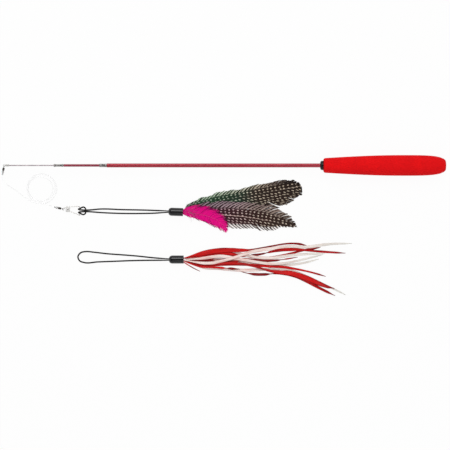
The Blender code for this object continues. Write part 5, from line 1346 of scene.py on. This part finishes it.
@dataclass
class Cap:
    """A glossy moulded cap with the cord's stopper knot and the thread binding inside it.

    The ring is the fine groove near the lip: each point's distance from the lip and depth, in millimetres.
    """

    name: str
    apex: Point
    heading_degrees: float
    body: Body
    radius: float = 4.1 * MM
    length: float = 14.6 * MM
    wall: float = 0.8 * MM
    dome: float = 3.4 * MM
    hole: float = 1.7 * MM
    lip: float = 0.3 * MM
    ring: tuple[Pair, ...] = ((2.2, 0.0), (2.1, 0.12), (1.9, 0.12), (1.8, 0.0))
    binding_start: float = 5.0 * MM
    binding_length: float = 5.6 * MM
    binding_radius: float = 2.9 * MM
    thread: float = 0.3 * MM
    knot_place: float = 3.3 * MM
    knot_half_length: float = 0.75 * MM
    knot_radius: float = 1.15 * MM
    knot_lobe: float = 0.25 * MM
    knot_cord: float = 0.5 * MM

    def __post_init__(self) -> None:
        """Work out the cap's heading, its side and its domed end's middle."""
        self.heading = level_turn(math.radians(self.heading_degrees))
        self.side = self.heading.cross(Z_AXIS)
        self.start = placed(self.apex)

    def around(self, along: float, up: float, aside: float) -> Vector:
        """Give a point by its distances from the domed end's middle along the cap, upwards and aside."""
        return self.start + self.heading * along + (Z_AXIS * up + self.side * aside)

    def shell(self) -> bpy.types.Object:
        """Model the cap: domed end with the cord's hole, straight body, rounded lip."""
        inner = self.radius - self.wall
        outline = arc((self.dome, self.hole), (self.dome, self.radius - self.hole), 180.0, 90.0, 16)
        outline += [(self.length - back * MM, self.radius - depth * MM) for back, depth in self.ring]
        outline += rear_edge(self.length, self.radius, self.lip, 6) + [(self.length, inner)]
        outline += arc((self.dome + self.wall, self.hole), (self.dome, inner - self.hole), 90.0, 180.0, 10)
        return turned(self.name + "_cap_moulded", outline, self.start, self.heading, Look.CAP)

    def binding(self) -> bpy.types.Object:
        """Wind the thread round the bundle inside the cap."""
        turns = int(self.binding_length / (2.0 * self.thread))
        steps = 20 * turns
        core = self.binding_radius - self.thread
        wound = []
        for share in (i / steps for i in range(steps + 1)):
            angle = FULL_TURN * turns * share
            along = self.binding_start + self.thread + (self.binding_length - 2.0 * self.thread) * share
            wound.append(self.around(along, math.cos(angle) * core, math.sin(angle) * core))
        form = Form()
        form.sweep(wound, self.thread, 6)
        form.revolve([(0.0, 0.0), (0.0, core), (self.binding_length, core), (self.binding_length, 0.0)],
                     self.around(self.binding_start, 0.0, 0.0), self.heading, 32)
        return form.finished(self.name + "_binding_wound", Look.THREAD)

    def stopper(self) -> bpy.types.Object:
        """Tie the cord's stopper knot: an overhand knot drawn tight, as a short three-lobed winding."""
        knot = []
        for angle in (FULL_TURN * i / 72 for i in range(72)):
            out = self.knot_radius + self.knot_lobe * math.sin(3.0 * angle)
            knot.append(self.around(self.knot_place + self.knot_half_length * math.cos(3.0 * angle),
                                    math.sin(2.0 * angle) * out, math.cos(2.0 * angle) * out))
        form = Form()
        form.sweep(knot, self.knot_cord, 10, closed=True)
        return form.finished(self.name + "_cord_stopper", Look.ELASTIC)

    def build(self) -> None:
        """Model the cap and what it holds."""
        seated(self.shell(), self.body, self.name + "_cap")
        seated(self.binding(), self.body, self.name + "_binding")
        seated(self.stopper(), self.body, self.name + "_cord_knot")


# The feathers


@dataclass
class Feather:
    """One feather: a tapered quill and hundreds of flat barbs that sweep towards its tip.

    The quill's route is in layout millimetres. The half widths of the vane are in millimetres against the
    share of the quill's length.
    """

    name: str
    node: str
    quill: tuple[Point, ...]
    upper: Table
    lower: Table
    look: Look
    seed: int
    barb_pitch: float = 0.42
    barb_half_width: float = 0.34
    barb_taper: float = 0.6
    taper_power: float = 2.5
    flatness: float = 0.3
    stations: int = 9
    least_width: float = 1.0
    edge_lead: float = 0.55
    edge_height: float = 0.45
    root_lag: float = 0.5
    root_reach: float = 0.0
    camber: float = 0.06
    bow_out: float = 0.55
    bow_ahead: float = 0.2
    bow_rise: float = 0.25
    lift: float = 0.12
    least_height: float = 0.3
    clump_pitch: float = 3.4
    clump_pull: float = 0.14
    length_spread: float = 0.03
    tuft_spread: float = 0.08
    curl: float = 0.0
    quill_look: Look = Look.PINK_QUILL
    quill_radius: Pair = (0.42, 0.1)
    quill_rise: float = 0.3

    def __post_init__(self) -> None:
        """Read the quill finely and measure it."""
        self.stem = smooth_route([Vector(p) for p in self.quill], 0.4)
        self.length = length_of(self.stem)
        self.draw = random.Random(self.seed)

    def at(self, t: float) -> tuple[Vector, Vector, Vector]:
        """Give the quill's point, heading and left side at a share of its length."""
        last = len(self.stem) - 1
        i = min(int(clamp(t) * last), last - 1)
        point = self.stem[i].lerp(self.stem[i + 1], clamp(t) * last - i)
        ahead = (self.stem[min(i + 6, last)] - self.stem[max(i - 6, 0)]).normalized()
        return point, ahead, left_of(ahead)

    def edge(self, t: float, sign: float, reach: float) -> Vector:
        """Give a point of the vane's outline, or inside it where reach is under 1."""
        point, ahead, side = self.at(t)
        width = eased(self.upper if sign > 0 else self.lower, t) * reach
        lead = min(self.edge_lead * width, (1.0 - t) * self.length * 0.8) * min(1.0, 5.0 * t)
        found = point + side * (sign * width) + ahead * lead
        found.z = max(point.z - self.camber * width, self.edge_height)
        return found

    def barb(self, form: Form, t: float, sign: float, clump: float, tuft: float) -> None:
        """Add one barb from the quill to the vane's edge.

        Args:
            form: the feather's mesh.
            t: the share of the quill's length where the barb is rooted.
            sign: 1 for the upper vane and -1 for the lower one.
            clump: the share where the middle of the barb's clump is rooted.
            tuft: how far the barb's clump stands out of the vane's edge, from -1 to 1.
        """
        table = self.upper if sign > 0 else self.lower
        pulled = t + (clump - t) * self.clump_pull
        width = eased(table, min(t + self.root_reach, 1.0))
        t_edge = min(pulled + self.root_lag * width / self.length, 1.0)
        width = max(eased(table, t), eased(table, t_edge))
        if width < self.least_width:
            return
        reach = 1.0 + self.draw.uniform(-1.0, 0.35) * self.length_spread + tuft * self.tuft_spread
        root, ahead, side = self.at(t)
        end = self.edge(t_edge, sign, reach)
        bow = root + side * (sign * width * self.bow_out) + ahead * (width * self.bow_ahead)
        lift = self.draw.uniform(-self.lift, self.lift)
        bow.z = (root.z + end.z) / 2.0 + self.bow_rise + lift
        end.z = max(end.z + lift, self.least_height)
        tone = self.draw.random()
        shares = [i / (self.stations - 1) for i in range(self.stations)]
        points = []
        for q in shares:
            point = root * (1.0 - q) ** 2 + bow * (2.0 * q * (1.0 - q)) + end * q * q
            points.append(placed(point + ahead * (self.curl * q ** 3 * self.draw.uniform(0.4, 1.0))))
        radii = [self.barb_half_width * MM * (1.0 - self.barb_taper * q ** self.taper_power) for q in shares]
        out = length_of(points) / MM
        for q, row in zip(shares, form.sweep(points, radii, 3, flat=self.flatness, level=Z_AXIS)):
            for vert in row:
                form.mark("barbs", vert, t * self.length, sign * out * q)
                form.mark("share", vert, q, tone)

    def vane(self) -> bpy.types.Object:
        """Model all the barbs of both vanes."""
        form = Form()
        count = int(self.length / self.barb_pitch)
        for sign in (1.0, -1.0):
            clump, left, tuft = 0.0, 0.0, 0.0
            for i in range(count):
                t = (i + self.draw.uniform(0.2, 0.8)) / count
                if t > left:
                    size = self.clump_pitch * self.draw.uniform(0.6, 1.5) / self.length
                    clump, left, tuft = t + size / 2.0, t + size, self.draw.uniform(-1.0, 0.8)
                self.barb(form, t, sign, clump, tuft)
        return form.finished(self.name, self.look, smooth_degrees=60.0)

    def shaft(self) -> bpy.types.Object:
        """Model the quill."""
        thick, thin = self.quill_radius
        points = [placed(p + Z_AXIS * self.quill_rise) for p in self.stem[::4] + [self.stem[-1]]]
        shares = [i / (len(points) - 1) for i in range(len(points))]
        radii = [(thick + (thin - thick) * share) * MM for share in shares]
        form = Form()
        for share, row in zip(shares, form.sweep(points, radii, 10, level=Z_AXIS)):
            for vert in row:
                form.mark("share", vert, share, 0.0)
        return form.finished(self.name + "_quill", self.quill_look)

    def build(self) -> None:
        """Model the feather on the toy."""
        seated(self.vane(), Body.FEATHERS, self.node)
        seated(self.shaft(), Body.FEATHERS)


@dataclass
class Down:
    """Loose down at the foot of the feathers, in curved single barbs. Places are in layout millimetres."""

    root: Point = (182.0, -46.6, 4.2)
    count: int = 90
    seed: int = 5
    fan: Pair = (-52.0, 68.0)
    reach: Pair = (6.0, 13.0)
    bend: float = 2.6
    arch: float = 0.6
    heights: Pair = (0.3, 7.0)
    stations: int = 8
    radius: float = 0.09 * MM
    taper: float = 0.7

    def build(self) -> None:
        """Model the down."""
        draw = random.Random(self.seed)
        shares = [i / (self.stations - 1) for i in range(self.stations)]
        radii = [self.radius * (1.0 - self.taper * q) for q in shares]
        form = Form()
        for _ in range(self.count):
            place = draw.random()
            heading = level_turn(math.radians(draw.uniform(*self.fan)))
            reach = draw.uniform(*self.reach)
            spread = Vector((place * 8.0 - 6.0, draw.uniform(-1.0, 1.2), draw.uniform(-1.2, 1.0)))
            start = Vector(self.root) + spread
            across = left_of(heading) * draw.uniform(-self.bend, self.bend)
            points = []
            for q in shares:
                point = start + heading * (reach * q) + across * (q * q)
                point += Z_AXIS * (self.arch * math.sin(3.0 * q))
                point.z = clamp(point.z, *self.heights)
                points.append(placed(point))
            tone = draw.random()
            for i, row in enumerate(form.sweep(points, radii, 3)):
                for vert in row:
                    form.mark("share", vert, shares[i], tone)
                    form.mark("barbs", vert, i, 0.0)
        seated(form.finished("feather_down", Look.DOWN), Body.FEATHERS)


def feathers() -> list[Feather]:
    """Give the three feathers of the toy."""
    green = Feather(
        "guinea_vane_green", "guinea_feather_green",
        ((173.4, -46.6, 2.9), (185, -42, 2.4), (208, -36.5, 1.5), (233, -31.5, 1.2), (258, -27.1, 1.2),
         (278, -23.5, 1.2), (295, -20.3, 1)),
        ((0, 0.6), (0.04, 1), (0.074, 5), (0.13, 5.9), (0.17, 7.4), (0.24, 7.2), (0.29, 9.4), (0.38, 8.8),
         (0.47, 7.8), (0.58, 9.3), (0.7, 9.7), (0.82, 10), (0.9, 7.6), (0.96, 4.6), (1, 0.6)),
        ((0, 0.6), (0.09, 0.9), (0.16, 4), (0.3, 9), (0.55, 14.5), (0.7, 16.6), (0.77, 16), (0.84, 13.4),
         (0.9, 10.8), (0.95, 8.6), (0.985, 5.4), (1, 0.6)),
        Look.GREEN_VANE, 11, barb_half_width=0.42, barb_taper=0.35, root_reach=0.03,
        quill_look=Look.GREEN_QUILL)
    pink = Feather(
        "guinea_vane_pink", "guinea_feather_pink",
        ((173.4, -46.6, 4.1), (198.9, -48.5, 3.4), (223.8, -50, 3), (239, -51.4, 2.9), (253.5, -53.8, 2.8),
         (273, -57.7, 2.7), (290.8, -61.9, 2.5)),
        ((0, 0.6), (0.06, 1), (0.124, 9.4), (0.175, 12), (0.25, 13.4), (0.35, 13.6), (0.4, 14.8),
         (0.49, 14.6), (0.59, 15.3), (0.68, 15.9), (0.74, 14.4), (0.81, 12.2), (0.863, 9.9), (0.93, 5.6),
         (1, 0.6)),
        ((0, 0.6), (0.08, 0.9), (0.15, 4), (0.28, 9.8), (0.38, 12.4), (0.5, 11.8), (0.56, 10.4),
         (0.68, 10.7), (0.76, 8), (0.87, 3.2), (0.93, 1.6), (1, 0.6)),
        Look.PINK_VANE, 23, barb_half_width=0.4, barb_taper=0.4, root_reach=0.03, clump_pull=0.2,
        quill_radius=(0.36, 0.1))
    hackle = Feather(
        "hackle_vane_pink", "pink_hackle",
        ((173.4, -46.6, 5.3), (188, -48, 5), (203, -51.5, 4.8), (214, -57.4, 4.6), (220.3, -66.4, 4.4)),
        ((0, 0.6), (0.03, 1), (0.06, 4.2), (0.1, 7.4), (0.16, 8.6), (0.3, 9.6), (0.5, 10), (0.68, 7.6),
         (0.85, 4), (1, 0.6)),
        ((0, 0.6), (0.03, 1), (0.08, 3.4), (0.16, 4.8), (0.35, 6.8), (0.6, 8), (0.8, 6), (0.92, 3),
         (1, 0.6)),
        Look.HACKLE, 37, barb_pitch=0.24, barb_half_width=0.28, barb_taper=0.82, root_reach=0.06,
        length_spread=0.1, tuft_spread=0.06, clump_pitch=2.2, clump_pull=0.35, curl=1.2,
        quill_look=Look.HACKLE_QUILL, quill_radius=(0.35, 0.1))
    return [green, pink, hackle]


# The ribbons


@dataclass
class Ribbon:
    """One satin ribbon: gathered in the cap, spread to its width, twisting, and cut to a point.

    Each point of the route is an X, a Y and the width that shows there, in layout millimetres. Where that is
    less than the ribbon's own width, the ribbon is turned on edge and gets painted shade. A width below zero
    gives it deeper painted shade there, as where it is turned over.
    """

    name: str
    nodes: tuple[str, ...]
    look: Look
    layer: int
    place: int
    route: tuple[Point, ...]
    phase: float
    root: Point = (172.94, -94.1, 4.1)
    middle_layer: float = 3.5
    root_layer_step: float = 0.85
    root_pitch: float = 1.45
    mouth: float = 4.2
    first_layer: float = 0.75
    layer_height: float = 1.0
    root_half: float = 0.52
    tip_half: float = 0.2
    narrowest: float = 0.8
    back_shade: float = 0.75
    flare_start: float = 7.0
    flare: float = 18.0
    taper: float = 7.0
    taper_power: float = 0.8
    wave: float = 0.35
    wave_length: float = 46.0
    turn_degrees: float = 42.0
    sway_degrees: float = 14.0
    sway_length: float = 38.0
    curl: float = 0.12
    lowest: float = 0.15
    thickness: float = 0.16 * MM
    spacing: float = 1.4
    columns: int = 7

    def stem(self) -> list[Vector]:
        """Give the ribbon's middle line: straight through the cap, then along its route."""
        start = Vector((self.root[0], self.root[1] + self.place * self.root_pitch,
                        self.root[2] + (self.layer - self.middle_layer) * self.root_layer_step))
        mouth = start + X_AXIS * self.mouth
        level = self.first_layer + (self.layer - 1.0) * self.layer_height
        rest = [Vector((x, y, level)) for x, y, _ in self.route]
        return evenly([start, mouth], self.spacing)[:-1] + smooth_route([mouth] + rest, self.spacing)

    def build(self) -> None:
        """Model the ribbon on the toy."""
        stem = self.stem()
        reach = length_of(stem)
        widths = tuple((x, width) for x, _, width in self.route)
        full = max(abs(width) for _, width in widths)
        form = Form()
        rows = form.grid(len(stem), self.columns)
        done = 0.0
        for i, (point, row) in enumerate(zip(stem, rows)):
            done += (point - stem[i - 1]).length if i else 0.0
            side = left_of((stem[min(i + 2, len(stem) - 1)] - stem[max(i - 2, 0)]).normalized())
            opened = smoothed((done - self.flare_start) / self.flare)
            signed = eased(widths, max(point.x, widths[0][0]))
            shown = max(abs(signed), self.narrowest)
            half = self.root_half + (shown / 2.0 - self.root_half) * opened
            closing = clamp((reach - done) / self.taper) ** self.taper_power
            half = self.tip_half + (half - self.tip_half) * closing
            turn = 1.0 - shown / full
            lean = math.copysign(self.turn_degrees * turn, math.sin(self.phase * 5.0))
            lean += self.sway_degrees * math.sin(FULL_TURN * done / self.sway_length + self.phase)
            slope = math.tan(math.radians(lean) * opened)
            along = (point.x - stem[0].x - self.mouth) / self.wave_length
            wave = self.wave * math.sin(FULL_TURN * along) * opened
            for j, vert in enumerate(row):
                v = 2.0 * j / (self.columns - 1) - 1.0
                rise = wave + half * v * slope + self.curl * half * (0.5 - v * v)
                spot = point + side * (half * v) + Z_AXIS * rise
                spot.z = max(spot.z, self.lowest)
                vert.co = placed(spot)
                form.mark("along", vert, done, (v + 1.0) / 2.0)
                form.mark("share", vert, done / reach, opened)
                # The "turn" map carries painted shade: where the ribbon is turned on edge, deeper where its
                # width is below zero
                form.mark("turn", vert, max(turn, self.back_shade * smoothed(0.5 - signed)), self.phase / 7.0)
        seated(form.finished(self.name, self.look, 60.0, self.thickness), Body.RIBBONS, *self.nodes)


# Each ribbon: its colour, its layer from the table, its place across the cap's mouth, and its route
RIBBONS: tuple[tuple[str, int, int, tuple[Point, ...]], ...] = (
    ("red", 5, 1, ((183, -90.8, 4), (193, -88.4, 4.6), (204, -86.1, 5), (215, -84.9, 5.2), (225, -84.7, 4.6),
     (234, -84.8, 3.6), (243, -84.6, 2.2), (251, -83.2, 1.6), (259, -81.7, 1.5), (268, -80, 1.5),
     (277, -78.5, 1.6), (286, -78, 1.8), (293, -78.6, 2.2), (300, -80.1, 2))),
    ("red", 4, 1, ((183, -91.9, 2.8), (193, -90.5, 3.2), (204, -88.9, 3.6), (214, -87.8, 3.8),
     (222, -88.2, 3.6), (228, -89.2, 2.6), (235, -90.2, 1.2))),
    ("red", 4, 0, ((182, -94.9, -1.8), (193, -95.1, -2.4), (204, -95.3, -2.2), (216, -96.4, 2.4),
     (228, -96.1, 2), (239, -94.7, -1.8), (249, -94.9, -2.6), (259, -95.4, -2.6), (269, -95, -2.2),
     (280, -93.5, 1.4), (291, -91.7, 1))),
    ("red", 2, 1, ((183, -92.5, 2.4), (201, -90.9, 3), (221, -90.3, 3), (237, -90.3, 2.6), (247, -89.8, -2.6),
     (256, -88.4, -1.8), (264, -86.4, 2.4), (274, -84.6, 3.4), (284, -84, 3.6), (294, -84.3, 2.4),
     (303, -85.2, 2.2), (316, -86.3, 2.4), (328, -87.1, 2), (339, -87.8, 1))),
    ("red", 1, 1, ((183, -93.9, 2.2), (205, -94.3, 2.4), (233, -93.7, 2.4), (255, -92.9, 2),
     (268, -91.1, 1.4), (278, -89.4, 2), (287, -87.4, 2.2), (296, -85.1, 2), (305, -83.4, 2.6),
     (314, -82, 2))),
    ("red", 4, -1, ((183, -97.3, 2), (193, -99.4, 2.2), (205, -99.9, 2), (217, -99.4, 2.2), (231, -99.1, 2.4),
     (243, -99.5, 2.4), (255, -100.4, 2.8), (267, -101, 2.8), (278, -101.8, 2.6), (289, -103.6, 2.2),
     (301, -106.1, 1.8), (311, -108.7, 1.8), (319, -111.1, 1.2))),
    ("red", 5, -1, ((183, -96.7, 1.8), (197, -98.4, 2.2), (211, -98.1, 2.4), (225, -97.8, 2.6),
     (237, -98.7, 2.6), (247, -100.7, 2.4), (255, -103.2, 2), (263, -105.5, 2.6), (273, -106.8, 4),
     (283, -107.7, 4.8), (293, -110.3, 5), (303, -114, 5), (313, -118.5, 4.4), (321, -121.5, 3),
     (328, -123.1, 1.4))),
    ("red", 2, -1, ((183, -97.9, 2), (197, -101.3, 2.4), (209, -102.9, 2.2), (221, -104.2, 1.8),
     (231, -105.4, 1.2), (240, -107.8, -0.8), (248, -109, -2.8), (258, -109.1, -2.8), (269, -108.3, 1.6),
     (279, -108.9, 2.6), (289, -111.1, 3.2), (299, -115.5, 3.2), (309, -120.8, 3), (319, -125.9, 2.6),
     (328.5, -130.5, 1))),
    ("red", 6, -1, ((183, -98.1, 1.8), (193, -101, 2), (205, -101.7, 2), (215, -102.4, 2.2),
     (224, -103.1, -2.4), (233, -103.7, -1.6))),
    ("pearl", 6, 0, ((183, -95.7, 2.2), (190, -96.9, 2.6), (198, -97.7, 3), (206, -97.4, 3),
     (214, -95.8, 2.8), (222, -93.6, 2.8), (230, -91.1, 2.8), (238, -88.4, 3), (245, -86.2, 3.2),
     (253, -84.7, 3.2), (263, -83.3, 3.2), (274, -81.6, 2.8), (285, -81, 2.6), (295, -81.5, 2.8),
     (305, -81.1, 3), (315, -79.5, 2.8), (327, -78.3, 2.2), (339, -78.1, 1.6), (345, -78, 1))),
    ("pearl", 5, 0, ((182, -94.1, 2.2), (190, -93.4, 2.6), (198, -92.6, 3), (206, -91.4, 3.2),
     (214, -90.7, 3.2), (222, -91.6, 3), (230, -93.2, 3), (239, -94.8, 2.8), (249, -96.5, 2.8),
     (259, -97.9, 2.8), (269, -98.4, 2.6), (281, -97.2, 2.2), (293, -94.8, 2), (305, -91.9, 1.8),
     (316, -89.2, 1.2))),
    ("pearl", 3, 1, ((183, -93.1, 2.2), (198, -91.1, 2.6), (213, -88.7, 2.4), (223, -87.5, 2),
     (230, -87.8, 2.6), (237, -89.1, 2.8), (244, -90.9, 2.8), (252, -92.2, 3), (261, -92.7, 3),
     (271, -91.9, 2.6), (283, -90.3, 2.2), (295, -89, 2.2), (307, -88.4, 2.2), (318, -88.3, 1.4))),
    ("pearl", 3, -1, ((183, -97.5, 2), (190, -100.4, 2.2), (199, -102.7, 2.6), (209, -103.1, 2.6),
     (221, -104, 3), (231, -104.7, 3.2), (240, -104.8, 3), (249, -104.7, 3), (258, -104.1, 2.8),
     (268, -103.3, 2.6), (278, -103.7, 2.2), (289, -106.3, 2), (301, -111.1, 1.8), (313, -116.7, 1.6),
     (325, -122.7, 1.6), (333, -126.5, 1.6), (339, -129.7, 1))),
    ("pearl", 3, 0, ((183, -95.5, 2), (199, -96.5, 2.4), (217, -96.7, 2.4), (233, -96.9, 2.4),
     (247, -98.1, 2.4), (259, -99.4, 2.4), (273, -99.9, 2.4), (287, -99.1, 2.2), (299, -97.1, 2),
     (312, -93.7, 1))),
    ("pearl", 2, 0, ((183, -95.1, 2), (205, -95.3, 2.4), (229, -94.7, 2.4), (249, -93.9, 2.4),
     (263, -92.7, 2.4), (275, -90.9, 2.4), (287, -89.4, 2.2), (296, -88.7, 2), (305, -88.4, 1.6))),
)


# A strand that has frayed off the lowest red ribbon
FRAYED: tuple[Point, ...] = ((180.5, -99.2, 1), (184, -101.3, -1), (188, -103.5, -0.8), (193, -105.9, -0.6))


def ribbons() -> list[Ribbon]:
    """Give the ribbons of both colours, each colour numbered from 1, and the frayed strand."""
    looks = {"red": Look.RED_SATIN, "pearl": Look.PEARL_SATIN}
    counts = {colour: 0 for colour in looks}
    made = []
    for colour, layer, place, route in RIBBONS:
        counts[colour] += 1
        number = counts[colour]
        name, node = f"{colour}_satin_{number}", f"{colour}_ribbon_{number}"
        made.append(Ribbon(name, (node,), looks[colour], layer, place, route, 1.9 * number + layer))
    made.append(Ribbon("red_satin_frayed", (), Look.RED_SATIN, 5, -2, FRAYED, 2.0, narrowest=0.5, taper=3.0))
    return made


def main() -> None:
    """Build the studio, the wand, its line and both toys, in that order."""
    logging.basicConfig(level=logging.INFO, format="%(name)s: %(message)s")
    Studio().build()
    Wand().build()
    tip = Swivel("tip_swivel", Body.TIP_BARREL, ("upper", "lower"), (90.0, 0.0), "line_knot_top", 1)
    tip.build()
    lower = Swivel("snap_swivel", Body.SNAP_BARREL, ("line", "snap"), (0.0, 90.0), "line_knot_bottom", -1)
    carried = lower.build() + Snap().build(lower.hook(), lower.heading)
    Line().build(tip, lower, carried)
    Elastic("feather_elastic", hitched_route(), Body.FEATHERS,
            ("feather_hitch", "feather_strand_upper", "feather_strand_lower")).build()
    Elastic("ribbon_elastic", RIBBON_LOOP, Body.RIBBONS, ("ribbon_loop",)).build()
    Cap("feather", (161.4, -46.1, 4.1), -2.0, Body.FEATHERS).build()
    Cap("ribbon", (162.0, -94.1, 4.1), 0.0, Body.RIBBONS).build()
    for feather in feathers():
        feather.build()
    Down().build()
    for ribbon in ribbons():
        ribbon.build()


if __name__ == "__main__":
    main()
